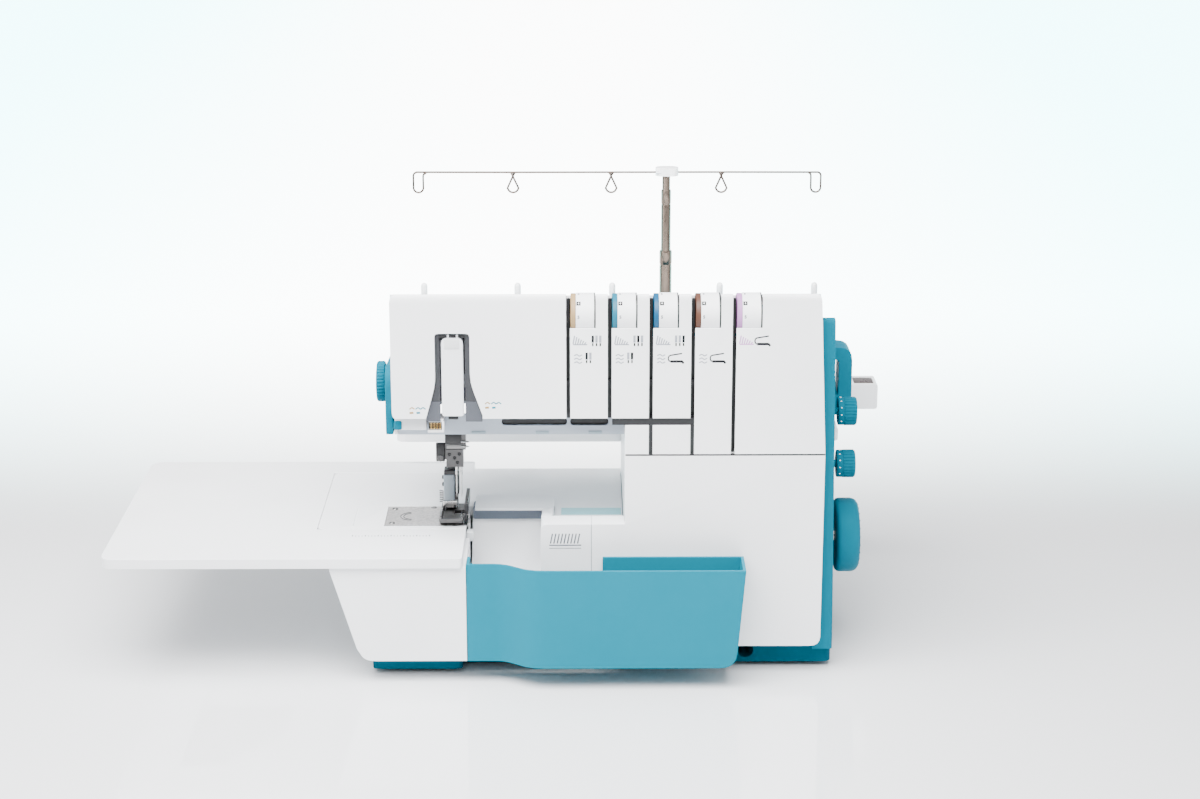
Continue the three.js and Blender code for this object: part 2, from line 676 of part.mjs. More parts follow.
// ---------------------------------------------------------------- tension dials and other controls
function makeTensionDials() {
  CHANNELS.forEach((x, i) => {
    const left = x + 0.3;
    const strip = left + 3.9;
    const right = left + DIAL.width;
    const wheel = join(
      rodX(left, strip, DIAL.y, DIAL.z, DIAL.radius - 0.4, 28),
      alongX(ribbed(DIAL.y, DIAL.z, DIAL.radius, 16, 0.8), strip, right),
    );
    piece("tension_dial_" + (i + 1), wheel, LOOKS.white, [(left + right) / 2, DIAL.y, DIAL.z]);
  });
}

function makeSideControls() {
  const y = CONTROL_Y;
  const knob = join(
    alongX(ribbed(y, PRESSURE.z, PRESSURE.radius, 24, 1), -151.7, -145),
    rodX(-145.5, -143, y, PRESSURE.z, PRESSURE.radius - 2.2, 32),
    rodX(-144, -128, y, PRESSURE.z, 4, 12),
  );
  piece("pressure_knob", knob, LOOKS.teal, [-147, y, PRESSURE.z]);
  for (const [name, { z, radius }] of Object.entries(SIDE_DIALS)) {
    const dial = join(
      rodX(207, 210.4, y, z, radius - 1, 28),
      alongX(ribbed(y, z, radius, 18, 0.8), 210, 221.6),
      rodX(188, 208, y, z, 3, 12),
    );
    piece(name, dial, LOOKS.teal, [214, y, z]);
  }
}

function makeHandwheel() {
  const profile = [
    [0, 207],
    [22, 207],
    [26.5, 207.8],
    [HANDWHEEL_RADIUS, 211],
    [HANDWHEEL_RADIUS, 219.5],
    [28, 223.6],
    [25, 225.6],
    [22, 225],
    [20.5, 223.4],
    [9, 222.8],
    [8, 224.6],
    [0, 224.6],
  ].map(([radius, x]) => new THREE.Vector2(radius, x));
  const wheel = new THREE.LatheGeometry(profile, 40).rotateZ(-Math.PI / 2);
  const body = solid(wheel.translate(0, SHAFT.y, SHAFT.z));
  const bore = rodX(200, 219, SHAFT.y, SHAFT.z, SHAFT.radius + GAP);
  piece("handwheel", cut(body, bore), LOOKS.teal, [216, SHAFT.y, SHAFT.z]);
}

function makeCarryGrip() {
  const ring = outline([
    [200.4, 183],
    [223, 183, 9],
    [223, 233, 11],
    [199.7, 233],
  ]);
  ring.holes.push(rect(203.6, 212.4, 193, 223, 3));
  piece("carry_grip", alongY(ring, 108, 132), LOOKS.teal);
}

// The air-threading lever: an arm behind the housing with a white finger block at its end.
function makeThreadingLever() {
  const { pivotX, pivotZ, left, right, front, back, half } = LEVER;
  const top = pivotZ + half;
  const block = alongY(rect(left, right, pivotZ - half, top, 2.5), front, back + 7);
  const sight = box(left + 3, right - 3, front + 3, back + 4, top - 1.4, top + 1);
  const arm = box(pivotX, left + 2, front + 3, back - 2, pivotZ - 4, pivotZ + 5);
  const lever = join(rodY(BODY_BACK + GAP, back - 2, pivotX, pivotZ, 8), arm, cut(block, sight));
  piece("threading_lever", lever, LOOKS.white, [pivotX, front, pivotZ]);
}

// The presser foot lifter comes out of the back of the arm.
function makeLifterLever() {
  const pivot = { y: 138, z: 216 };
  const arm = outline([
    [134, 212],
    [176, 200, 3],
    [180, 204, 3],
    [178, 208, 3],
    [142, 220],
  ]);
  const lever = join(alongX(arm, -104, -96), rodX(-105, -95, pivot.y, pivot.z, 6.5));
  piece("lifter_lever", lever, LOOKS.charcoal, [-100, pivot.y, pivot.z]);
}

function makePower() {
  const block = box(193, 203.2, INLET.front, INLET.back, INLET.bottom, INLET.top);
  const inlet = alongX(rect(153, 169, 35, 55, 2), 195, 205);
  const half = SWITCH.length / 2;
  const { y, z } = SWITCH;
  const rockerHole = box(194, 205, y - half - GAP, y + half + GAP, z - 11, z + 11);
  piece("power_socket", cut(block, inlet, rockerHole), LOOKS.black);
  const rocker = outline([
    [196, z - 4],
    [196, z + 4],
    [203.6, z + 10],
    [202.6, z],
    [203.6, z - 10],
  ]);
  const rest = THREE.MathUtils.degToRad(-8);
  const body = alongY(rocker, y - half, y + half);
  piece("power_switch", body, LOOKS.charcoal, [198, y, z]).rotation.y = rest;
}

// ---------------------------------------------------------------- thread stand
function makeSpoolStand() {
  const { left, right, back, top, thick } = STAND;
  const tray = alongZ(rect(left, right, BODY_BACK + GAP, back, 8), top - thick, top);
  const bracket = box(60, 176, BODY_BACK + GAP, BODY_BACK + 8, top - 40, top - 1);
  const pins = PIN_OFFSETS.map((offset) => {
    const x = MAST_X + offset;
    const tip = new THREE.ConeGeometry(PIN.radius, 3, 10).rotateX(Math.PI / 2);
    return join(
      rodZ(top - 1, top + 3, x, STAND.y, 16, 16),
      rodZ(top, PIN.top - 2.9, x, STAND.y, PIN.radius, 10),
      solid(tip.translate(x, STAND.y, PIN.top - 1.5)),
    );
  });
  const boss = rodZ(top - 1, top + 14, MAST_X, STAND.y, 9);
  const bore = rodZ(top - thick + 2, top + 20, MAST_X, STAND.y, 5.6);
  piece("spool_stand", cut(join(tray, bracket, ...pins, boss), bore), LOOKS.white);
}

function tube(z0, z1, outer, inner) {
  const ring = new THREE.Shape().absarc(MAST_X, STAND.y, outer, 0, 2 * Math.PI);
  ring.holes.push(new THREE.Path().absarc(MAST_X, STAND.y, inner, 0, 2 * Math.PI));
  return alongZ(ring, z0, z1, 8);
}

function makeMast() {
  const foot = STAND.top - STAND.thick + 2 + GAP;
  const collar = 12;
  const baseTop = 282;
  piece(
    "mast_base",
    join(tube(foot, baseTop - collar, 5.2, 4.5), tube(baseTop - collar - 0.2, baseTop, 4.95, 4.5)),
    LOOKS.tubeSteel,
  );
  piece("mast_middle", join(tube(212, 322, 4.1, 3.7), tube(321.8, 334, 4.05, 3.7)), LOOKS.tubeSteel);
  piece("mast_top", rodZ(240, GUIDE_Z - 3, MAST_X, STAND.y, 3.3, 16), LOOKS.tubeSteel);
}

// The wire guide: a straight wire with a closed loop above each pin.
function makeGuideBar() {
  const half = WIRE / 2;
  const reach = { left: -207, right: 125 };
  const low = GUIDE_Z - 18;
  const bar = alongX(
    rect(STAND.y - half, STAND.y + half, GUIDE_Z - half, GUIDE_Z + half),
    MAST_X + reach.left,
    MAST_X + reach.right,
  );
  const flatRing = (outer, inner) => {
    outer.holes.push(inner);
    return alongY(outer, STAND.y - half, STAND.y + half, 2);
  };
  const endLoops = [reach.left, reach.right].map((offset) => {
    const x = MAST_X + offset;
    return flatRing(
      rect(x - 5, x + 5, low, GUIDE_Z + half, 4),
      rect(x - 5 + WIRE, x + 5 - WIRE, low + WIRE, GUIDE_Z - half, 2.6),
    );
  });
  const drops = [-128, -46, 46].map((offset) => {
    const x = MAST_X + offset;
    const drop = (inset) =>
      outline([
        [x - 1.6 + inset / 2, GUIDE_Z + half - inset],
        [x + 1.6 - inset / 2, GUIDE_Z + half - inset],
        [x + 5.4 - inset, low + 5, 3],
        [x + 2, low + inset, 2],
        [x - 2, low + inset, 2],
        [x - 5.4 + inset, low + 5, 3],
      ]);
    return flatRing(drop(0), drop(WIRE));
  });
  const hubPlan = rect(MAST_X - 9, MAST_X + 10, STAND.y - 6, STAND.y + 6, 5);
  const hub = alongZ(hubPlan, GUIDE_Z - 2.6, GUIDE_Z + 4);
  piece("guide_bar", join(bar, ...endLoops, ...drops, hub), LOOKS.steel, [MAST_X, STAND.y, GUIDE_Z]);
}

// ---------------------------------------------------------------- frame, motor and drive
function makeMainFrame() {
  const casting = outline([
    [-130, 212, 4],
    [-130, 240, 4],
    [175, 240, 10],
    [175, 20],
    [-70, 20, 6],
    [-70, 60, 6],
    [60, 60, 10],
    [60, 212, 10],
  ]);
  const beltWindow = box(BELT.left - 5, BELT.right + 5, 100, 125, 40, 126);
  const bearings = [
    box(14, 30, 50, 110, 44, BED - WALL - 0.8),
    box(126, 140, 50, 110, 60, 108),
  ];
  const bush = box(-104, -80, 66, 110, 213, 224);
  const bores = [
    rodX(0, 145, SHAFT.y, SHAFT.z, SHAFT.radius + GAP),
    rodZ(200, 230, NEEDLE_X, NEEDLE_Y, 3.4, 16),
    rodZ(200, 230, PRESSER_X, PRESSER_Y, 3.9, 16),
  ];
  const body = join(cut(alongY(casting, 108, 118), beltWindow), ...bearings, bush);
  piece("main_frame", cut(body, ...bores), LOOKS.casting);
}

function makeDrive() {
  const foot = BASE_BOTTOM + 3 + GAP;
  const motor = join(
    rodX(60, 138, MOTOR.y, MOTOR.z, MOTOR.radius, 28),
    rodX(137, 142, MOTOR.y, MOTOR.z, 10),
    box(70, 128, MOTOR.y - 14, MOTOR.y + 14, foot, MOTOR.z - 15),
  );
  piece("motor", motor, LOOKS.darkSteel);
  const motorPulley = join(
    rodX(142.4, BELT.left, MOTOR.y, MOTOR.z, 3, 12),
    rodX(BELT.left - 1, BELT.right + 1, MOTOR.y, MOTOR.z, MOTOR_PULLEY_RADIUS, 24),
  );
  piece("motor_pulley", motorPulley, LOOKS.casting, [155, MOTOR.y, MOTOR.z]);
  const shaft = join(
    rodX(-11, 218, SHAFT.y, SHAFT.z, SHAFT.radius),
    rodX(-11, -5, SHAFT.y, SHAFT.z, 8),
    rodX(BELT.left, BELT.right, SHAFT.y, SHAFT.z, PULLEY_RADIUS, 36),
  );
  piece("main_shaft", shaft, LOOKS.steel, [100, SHAFT.y, SHAFT.z]);
  piece("timing_belt", makeBelt(), LOOKS.rubber);
}

// A belt round both pulleys: two arcs joined by the pulleys' outer tangents.
function makeBelt() {
  const across = MOTOR.y - SHAFT.y;
  const up = MOTOR.z - SHAFT.z;
  const heading = Math.atan2(up, across);
  const lean = Math.acos((PULLEY_RADIUS - MOTOR_PULLEY_RADIUS) / Math.hypot(across, up));
  const loop = (grow, Kind) => {
    const line = new Kind();
    line.absarc(SHAFT.y, SHAFT.z, PULLEY_RADIUS + grow, heading + lean, heading - lean + 2 * Math.PI);
    line.absarc(MOTOR.y, MOTOR.z, MOTOR_PULLEY_RADIUS + grow, heading - lean, heading + lean);
    return line;
  };
  const belt = loop(GAP + BELT.thick, THREE.Shape);
  belt.holes.push(loop(GAP, THREE.Path));
  return alongX(belt, BELT.left, BELT.right, 8);
}

// ---------------------------------------------------------------- stitching pieces
function makeNeedleGroup() {
  piece("needle_bar", rodZ(149.4, 250, NEEDLE_X, NEEDLE_Y, 3, 16), LOOKS.steel);
  const clamp = join(
    box(-100, -86.4, 71, 83, 146, 160.5),
    box(-98, -84.4, 72, 82, 160, 174),
    box(-107, -99, 75, 79, 151, 164),
  );
  const bore = rodZ(149, 180, NEEDLE_X, NEEDLE_Y, 3.4, 16);
  const needleXs = { needle_left: NEEDLE_X - 2.2, needle_right: NEEDLE_X + 1.6 };
  const seats = Object.values(needleXs).map((x) => rodZ(140, 148.6, x, NEEDLE_Y, 1.4, 12));
  piece("needle_clamp", cut(clamp, bore, ...seats), LOOKS.steel);
  for (const [name, x] of Object.entries(needleXs)) {
    const tip = new THREE.ConeGeometry(0.6, 5, 10).rotateX(-Math.PI / 2);
    const needle = join(
      rodZ(138, 148.2, x, NEEDLE_Y, 1, 10),
      rodZ(122.9, 138.5, x, NEEDLE_Y, 0.6, 10),
      solid(tip.translate(x, NEEDLE_Y, 120.5)),
    );
    piece(name, needle, LOOKS.steel);
  }
  const fork = outline([
    [57, 256],
    [66, 258, 4],
    [66, 268, 4],
    [57, 268],
    [14, 271.6, 2],
    [7.2, 272.4, 2],
    [7.2, 260, 2],
    [11, 260, 2],
    [13, 266, 2],
  ]);
  const lever = join(
    alongX(fork, -96, -93.4),
    alongX(fork, -86.6, -84),
    rodX(-97, -83, 61, 262, 5.5),
  );
  piece("take_up_lever", lever, LOOKS.steel, [-90, 61, 262]);
  const guard = alongZ(
    outline([
      [-98.2, 5],
      [-98.2, 2, 2.4],
      [-81.7, 2, 2.4],
      [-81.7, 5],
    ]),
    209,
    270,
  ).intersect(
    alongY(
      outline([
        [-98.2, 209, 2],
        [-81.7, 209, 2],
        [-81.7, 270, 5],
        [-98.2, 270, 5],
      ]),
      0,
      8,
    ),
  );
  piece("take_up_cover", guard, LOOKS.white);
}

function makePresser() {
  const bar = join(
    rodZ(125, 236, PRESSER_X, PRESSER_Y, 3.5, 16),
    box(PRESSER_X - 6, PRESSER_X + 6, PRESSER_Y - 5.5, PRESSER_Y + 5.5, 118, 138),
  );
  piece("presser_bar", bar, LOOKS.charcoal);
  const sole = BED + GAP;
  const profile = outline([
    [57, sole],
    [98, sole],
    [98, sole + 3],
    [58, sole + 3],
    [51, sole + 6.4],
    [50, sole + 4.2],
  ]);
  const left = -105;
  const right = -86.4;
  const foot = join(
    alongX(profile, left, right),
    box(left, left + 1.6, 58, 97, sole + 1, sole + 6),
    box(PRESSER_X - 5, PRESSER_X + 5, PRESSER_Y - 5, PRESSER_Y + 5, sole + 2, 117.6),
  );
  const needleSlot = box(-94.6, right + 1, 72, 82, 100, 120);
  piece("presser_foot", cut(foot, needleSlot), LOOKS.darkSteel);
}

function makeNeedlePlate() {
  const plate = box(-148.5, FREE_ARM.right, 54, 100, BED - 2, BED);
  const openings = [
    box(-94.6, -87.2, 72.5, 81.5, 90, 110),
    box(-106, -96, 63.5, 94.5, 90, 110),
    box(-86.4, -80, 56, 84, 90, 110),
  ];
  piece("needle_plate", cut(plate, ...openings), LOOKS.steel);
  const teeth = [];
  for (let y = 66; y < 90; y += 3) {
    const tooth = outline([
      [y, BED - 3],
      [y + 2.6, BED - 3],
      [y + 2.6, BED - 0.4],
    ]);
    teeth.push(alongX(tooth, -105, -102), alongX(tooth, -100, -97));
  }
  const feed = join(
    box(-105, -97, 65.6, 90, BED - 8, BED - 2.8),
    box(-103, -99, 88, 106, BED - 11, BED - 6),
    ...teeth,
  );
  piece("feed_dogs", feed, LOOKS.steel);
}

function makeCutters() {
  const blade = outline([
    [58, BED + 1],
    [80, BED + 4],
    [80, 112],
    [58, 112],
  ]);
  const upper = join(alongX(blade, -85.6, -84.4), box(-85.6, -82.8, 60, 99, 110.5, 119));
  piece("upper_knife", upper, LOOKS.charcoal);
  piece("lower_knife", box(-83.6, -82.2, 58, 82, 84, BED - 0.2), LOOKS.steel);
}

// Each looper is a curved arm on a rocking pivot under the needle plate.
function makeLoopers() {
  const lower = outline([
    [-116, 44],
    [-106, 44],
    [-106, 70],
    [-100, 82, 4],
    [-88, 86.5],
    [-100, 88.5, 6],
    [-112, 74, 8],
  ]);
  piece(
    "lower_looper",
    join(alongY(lower, 84, 88), rodY(82, 92, -111, 48, 7)),
    LOOKS.steel,
    [-111, 86, 48],
  );
  const upper = outline([
    [-134, 54],
    [-126, 54],
    [-124, 72],
    [-112, 82, 5],
    [-97, 82.5],
    [-110, 88, 6],
    [-130, 80, 8],
  ]);
  piece(
    "upper_looper",
    join(alongY(upper, 67, 71), rodY(64, 74, -130, 58, 7)),
    LOOKS.steel,
    [-130, 69, 58],
  );
}

// ---------------------------------------------------------------- the machine
makeBase();
makeFeet();
makeRearHousing();
makeBodyShell();
makeHeadCover();
makeFrontPanels();
makeThreadChannel();
makeArmUnderside();
makeSideCover();
makeLooperCover();
makeChuteCover();
makeFreeArmBody();
makeClothPlate();
makeExtensionTable();
makeWasteBin();
makeTensionDials();
makeSideControls();
makeHandwheel();
makeCarryGrip();
makeThreadingLever();
makeLifterLever();
makePower();
makeSpoolStand();
makeMast();
makeGuideBar();
makeMainFrame();
makeDrive();
makeNeedleGroup();
makePresser();
makeNeedlePlate();
makeCutters();
makeLoopers();

// The origin is the middle of the footprint, from the table's left edge to the threading lever's right
// end and from the bin's front to the back of the spool tray.
machine.position.set(-(TABLE.left + LEVER.right) / 2, -(BIN.front + STAND.back) / 2, 0);

export default machine;
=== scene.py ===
"""The looks of the serger: materials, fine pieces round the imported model, studio and camera."""
import math

import bmesh
import bpy
from mathutils import Matrix, Vector


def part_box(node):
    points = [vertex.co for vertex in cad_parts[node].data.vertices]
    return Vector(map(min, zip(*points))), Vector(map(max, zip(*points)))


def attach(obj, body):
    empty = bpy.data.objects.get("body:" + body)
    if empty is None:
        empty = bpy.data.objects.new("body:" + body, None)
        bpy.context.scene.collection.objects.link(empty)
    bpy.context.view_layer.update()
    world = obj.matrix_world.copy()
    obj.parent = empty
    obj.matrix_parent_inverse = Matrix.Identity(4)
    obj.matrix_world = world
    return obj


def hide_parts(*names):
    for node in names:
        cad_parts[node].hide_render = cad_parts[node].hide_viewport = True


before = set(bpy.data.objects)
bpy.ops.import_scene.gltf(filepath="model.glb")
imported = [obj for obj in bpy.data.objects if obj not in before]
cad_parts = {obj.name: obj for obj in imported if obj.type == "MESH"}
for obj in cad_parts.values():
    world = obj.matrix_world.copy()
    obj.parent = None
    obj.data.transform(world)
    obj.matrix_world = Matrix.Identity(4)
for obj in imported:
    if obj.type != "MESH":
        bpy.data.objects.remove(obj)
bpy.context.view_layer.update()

# ---------------- the drawing frame, in millimetres
# x = 0 lies in the throat, y = 0 is the plane of the front covers, z = 0 the floor.
MM = 0.001
TABLE_LEFT = -359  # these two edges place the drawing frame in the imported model
BIN_FRONT = -33.4
SHIFT = Vector((
    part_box("extension_table")[0].x - TABLE_LEFT * MM,
    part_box("waste_bin")[0].y - BIN_FRONT * MM,
    0,
))
X, Y, Z = Vector((1, 0, 0)), Vector((0, 1, 0)), Vector((0, 0, 1))
SPINS = {"x": (Y, Z, X), "y": (Z, X, Y), "z": (X, Y, Z)}  # two directions across, then the axis

BED = 103  # top of the cloth plate
SEAM = 178.4  # top of the looper cover
COVER_LEFT = 40.2
COVER_RIGHT = 191.8
CHANNELS = (-1.4, 29.8, 60.9, 92.3, 123.2)  # right edges of the thread channels
CHANNEL_WIDTH = 3
LOW_PANEL_TOP = 202

# The take-up slot in the head, which flares out at its foot.
SLOT_LEFT = -99.4
SLOT_RIGHT = -80.4
SLOT_FOOT = 204.6
SLOT_HEAD = 271.6
FLARE_LEFT = -110.3
FLARE_RIGHT = -67.8

# Five tension wheels, all alike, with the numbers 1 to 9 round them.
DIAL = {"y": 16.2, "z": 285, "radius": 16, "strip": 3.9, "width": 18.3}
WHEEL_STEP = 38  # degrees between two numbers
WHEEL_TURN = 5
WHEEL_MIDDLE = 5  # the number that faces forward, but for the turn
NUMBER_SIZE = 3.2
STANDARD_NUMBER = 4  # the usual setting, small and white on a dark tile
STANDARD_SIZE = 1.7
TILE_HALF = 1.55

# The knobs and the handwheel.
HOUSING_RIGHT = 207
CONTROL_Y = 60
PRESSURE_KNOB = (-143, CONTROL_Y, 220)
SIDE_KNOBS = (  # name, CAD node, height, radius and body
    ("differential_grip", "differential_dial", 195, 11.2, "differential"),
    ("stitch_grip", "stitch_dial", 152, 11, "stitch"),
)
SHAFT = (62, 92)  # y and z of the handwheel's axis
WHEEL_GRIPS = 24
LEVER_TOP = 171  # the threading lever's top

# The spool tray, its mast and the wire guide on top.
STAND_Y = 240
TRAY_TOP = 132
MAST_X = 78
PIN_OFFSETS = (-204, -125, -45, 46, 126)  # from the mast
GUIDE_Z = 349
LOOP_DROP = 17.1  # from the wire to the bottom of its loops
TEARDROPS = (-128, -46, 46)  # the three middle loops, from the mast

# Heights of the prints on the front panels.
STITCH_Z, NEEDLE_Z, LOOPER_Z = 265.8, 264, 265
LOW_STITCH_Z, LOW_NEEDLE_Z, LOW_LOOPER_Z = 251.2, 250.8, 251.6
NEEDLE_PITCH = 2.8

# The studio, in metres.
LIGHTS = (  # name, place, width and height, watts
    ("overhead", (-0.15, -0.45, 1.05), (1.3, 0.8), 66),
    ("left_window", (-1.5, -0.9, 0.8), (0.7, 1.0), 14),
    ("right_window", (1.5, -1.0, 0.9), (0.7, 1.0), 7),
)
LIGHT_AIM = (0, 0, 0.18)
AIR_COLOUR = (0.94, 0.97, 1.0, 1)
AIR_STRENGTH = 0.9
FLOOR_REACH = 12
FLOOR_GLOSS = 0.06  # roughness near the machine
GLOW = 11.0  # brightness of the lit part behind the machine
CAMERA_PLACE = (0.0595, -1.8343, 0.735)
CAMERA_HEADING = (0.00669, 0.9583, -0.2855)
CAMERA_LENS = 71.5  # millimetres, on a 36 mm wide sensor


def at(x, y, z):
    """A point of the drawing frame, in millimetres, as a place in metres."""
    return Vector((x, y, z)) * MM + SHIFT


def colour(red, green, blue):
    """A screen colour, 0 to 255, as a linear one."""
    def linear(value):
        value /= 255
        return value / 12.92 if value <= 0.04045 else ((value + 0.055) / 1.055) ** 2.4
    return (linear(red), linear(green), linear(blue), 1)


# ---------------- materials
NOISE_LOW, NOISE_HIGH = 0.3, 0.7  # nearly all of a noise texture lies between these
NO_TINT = (1, 1, 1, 1)


class Finish:
    """A material with its node tree, built step by step."""

    def __init__(self, name, roughness=0.4, metallic=0.0):
        self.material = bpy.data.materials.new(name)
        self.material.use_nodes = True
        self.tree = self.material.node_tree
        self.shader = self.tree.nodes["Principled BSDF"]
        self.shader.inputs["Roughness"].default_value = roughness
        self.shader.inputs["Metallic"].default_value = metallic
        self.place = self.tree.nodes.new("ShaderNodeTexCoord").outputs["Object"]

    def node(self, kind, **values):
        made = self.tree.nodes.new(kind)
        for key, value in values.items():
            setattr(made, key, value)
        return made

    def join(self, source, target):
        self.tree.links.new(source, target)

    def noise(self, scale, detail=3.0, stretch=(1, 1, 1)):
        mapping = self.node("ShaderNodeMapping")
        mapping.inputs["Scale"].default_value = stretch
        texture = self.node("ShaderNodeTexNoise")
        texture.inputs["Scale"].default_value = scale
        texture.inputs["Detail"].default_value = detail
        self.join(self.place, mapping.inputs["Vector"])
        self.join(mapping.outputs["Vector"], texture.inputs["Vector"])
        return texture.outputs["Fac"]

    def ramp(self, source, low, high):
        """Spreads a noise over two colours."""
        ramp = self.node("ShaderNodeValToRGB")
        ramp.color_ramp.elements[0].position = NOISE_LOW
        ramp.color_ramp.elements[1].position = NOISE_HIGH
        ramp.color_ramp.elements[0].color = low
        ramp.color_ramp.elements[1].color = high
        self.join(source, ramp.inputs["Fac"])
        return ramp.outputs["Color"]

    def span(self, source, low, high):
        """Spreads a noise between two values."""
        spread = self.node("ShaderNodeMapRange")
        spread.inputs["From Min"].default_value = NOISE_LOW
        spread.inputs["From Max"].default_value = NOISE_HIGH
        spread.inputs["To Min"].default_value = low
        spread.inputs["To Max"].default_value = high
        self.join(source, spread.inputs["Value"])
        return spread.outputs["Result"]

    def step(self, source, low, high, start=0.0, end=1.0):
        """Turns a value into a soft step from start to end between low and high."""
        step = self.node("ShaderNodeMapRange", interpolation_type="SMOOTHSTEP")
        for name, value in (("From Min", low), ("From Max", high), ("To Min", start), ("To Max", end)):
            step.inputs[name].default_value = value
        self.join(source, step.inputs["Value"])
        return step.outputs["Result"]

    def blend(self, factor, first, second):
        """Mixes two colours, each a fixed colour or another node's output."""
        mix = self.node("ShaderNodeMix", data_type="RGBA")
        self.join(factor, mix.inputs["Factor"])
        for source, socket in ((first, mix.inputs["A"]), (second, mix.inputs["B"])):
            if isinstance(source, tuple):
                socket.default_value = source
            else:
                self.join(source, socket)
        return mix.outputs["Result"]

    def bump(self, source, strength, depth):
        """Raises the surface by a noise; the depth is in metres."""
        bump = self.node("ShaderNodeBump")
        bump.inputs["Strength"].default_value = strength
        bump.inputs["Distance"].default_value = depth
        self.join(source, bump.inputs["Height"])
        self.join(bump.outputs["Normal"], self.shader.inputs["Normal"])

    def edges(self, base, lighter, amount):
        """Lightens convex edges a little: a painted highlight along the rims."""
        geometry = self.node("ShaderNodeNewGeometry")
        rim_highlight = self.node("ShaderNodeMapRange")
        rim_highlight.inputs["From Min"].default_value = 0.52
        rim_highlight.inputs["From Max"].default_value = 0.62
        rim_highlight.inputs["To Max"].default_value = amount
        self.join(geometry.outputs["Pointiness"], rim_highlight.inputs["Value"])
        return self.blend(rim_highlight.outputs["Result"], base, lighter)

    def paint(self, source):
        self.join(source, self.shader.inputs["Base Color"])


def tone(base, factor):
    """A lighter or darker shade of a colour."""
    return tuple(min(1, channel * factor) for channel in base[:3]) + (1,)


def moulded(name, base, roughness=0.4, grain=0.05, grain_scale=1500, sheen=0.5, tint=NO_TINT):
    """Moulded plastic: slow shade variation, a fine eroded grain, uneven gloss and a painted highlight on
    convex edges.
    """
    finish = Finish(name, roughness)
    cloud = finish.noise(11, 4)
    shade = finish.ramp(cloud, tone(base, 0.965), tone(base, 1.02))
    # The convex edges get a painted highlight.
    finish.paint(finish.edges(shade, tone(base, 1.18), 0.35))
    smear = finish.noise(55, 5)
    finish.join(finish.span(smear, roughness - 0.05, roughness + 0.06), finish.shader.inputs["Roughness"])
    finish.bump(finish.noise(grain_scale, 2), grain, 0.0002)
    finish.shader.inputs["IOR"].default_value = 1.47
    finish.shader.inputs["Specular IOR Level"].default_value = sheen
    finish.shader.inputs["Specular Tint"].default_value = tint
    return finish.material


def ground_metal(name, base, roughness=0.3, stretch=(1, 1, 30)):
    """Ground or drawn metal: fine lines along one direction and blotchy gloss."""
    finish = Finish(name, roughness, 1.0)
    lines = finish.noise(420, 4, stretch)
    finish.paint(finish.ramp(lines, tone(base, 0.78), tone(base, 1.12)))
    blotches = finish.span(finish.noise(90, 4), roughness - 0.07, roughness + 0.1)
    finish.join(blotches, finish.shader.inputs["Roughness"])
    finish.bump(lines, 0.12, 0.00005)
    return finish.material


def rubber_like(name, base):
    """Rubber or felt: matt and finely speckled."""
    finish = Finish(name, 0.82)
    speckle = finish.noise(900, 3)
    finish.paint(finish.ramp(speckle, tone(base, 0.7), tone(base, 1.4)))
    finish.bump(speckle, 0.25, 0.0003)
    return finish.material


def printed(name, base):
    """Pad-printed ink, slightly uneven and nearly matt."""
    finish = Finish(name, 0.55)
    finish.shader.inputs["Specular IOR Level"].default_value = 0.15
    finish.paint(finish.ramp(finish.noise(700, 3), tone(base, 0.88), tone(base, 1.08)))
    finish.bump(finish.noise(1800, 2), 0.05, 0.00005)
    return finish.material


def dial_face(name, strip, boundary):
    """White thumb wheel whose left end carries the coloured thread strip."""
    white = colour(233, 234, 236)
    finish = Finish(name, 0.42)
    finish.shader.inputs["Specular IOR Level"].default_value = 0.3
    parts = finish.node("ShaderNodeSeparateXYZ")
    finish.join(finish.place, parts.inputs["Vector"])
    beyond = finish.node("ShaderNodeMath", operation="GREATER_THAN")
    beyond.inputs[1].default_value = boundary
    finish.join(parts.outputs["X"], beyond.inputs[0])
    cloud = finish.noise(60, 3)
    left_end = finish.ramp(cloud, tone(strip, 0.92), tone(strip, 1.06))
    face = finish.ramp(cloud, tone(white, 0.96), tone(white, 1.02))
    finish.paint(finish.blend(beyond.outputs["Value"], left_end, face))
    finish.bump(finish.noise(1600, 2), 0.05, 0.0002)
    return finish.material


WHITE = moulded("white_plastic", colour(236, 237, 239), 0.38)
WHITE_SOFT = moulded("white_satin", colour(228, 230, 234), 0.46)
TURQUOISE_GLOSS = {"sheen": 0.08, "tint": (0.01, 0.75, 0.9, 1)}
AQUA = moulded("aqua_plastic", (0.0001, 0.15, 0.215, 1), 0.5, **TURQUOISE_GLOSS)
TEAL = moulded("teal_plastic", (0.0001, 0.12, 0.18, 1), 0.48, **TURQUOISE_GLOSS)
TEAL_DARK = moulded("deep_teal_plastic", (0.0003, 0.07, 0.11, 1), 0.5, **TURQUOISE_GLOSS)
GREY = moulded("grey_plastic", colour(168, 177, 188), 0.44)
CHARCOAL = moulded("charcoal_plastic", colour(44, 46, 50), 0.5)
BLACK = moulded("black_plastic", colour(20, 21, 23), 0.42)
STEEL = ground_metal("bright_steel", colour(206, 205, 203), 0.26)
STEEL_SATIN = ground_metal("satin_steel", colour(236, 232, 230), 0.5)
STEEL_DARK = ground_metal("dark_steel", colour(128, 127, 126), 0.32)
# A darker copy of the dark steel: painted shade on the fittings under the arm.
STEEL_PAINTED_SHADE = ground_metal("steel_painted_shade", colour(92, 91, 91), 0.34)
STEEL_BLACK = moulded("blackened_steel", colour(18, 18, 20), 0.3)
TUBE = ground_metal("drawn_tube", colour(118, 105, 95), 0.27, (1, 1, 0.04))
WIRE = ground_metal("bent_wire", colour(92, 82, 76), 0.3)
CAST = ground_metal("cast_metal", colour(170, 172, 176), 0.5, (1, 1, 1))
GOLD = ground_metal("gold_guides", colour(236, 204, 140), 0.28)
SLOT_EDGE = moulded("slot_edge", colour(46, 47, 51), 0.4)
SLOT_FLOOR = moulded("slot_floor", colour(68, 71, 78), 0.45)
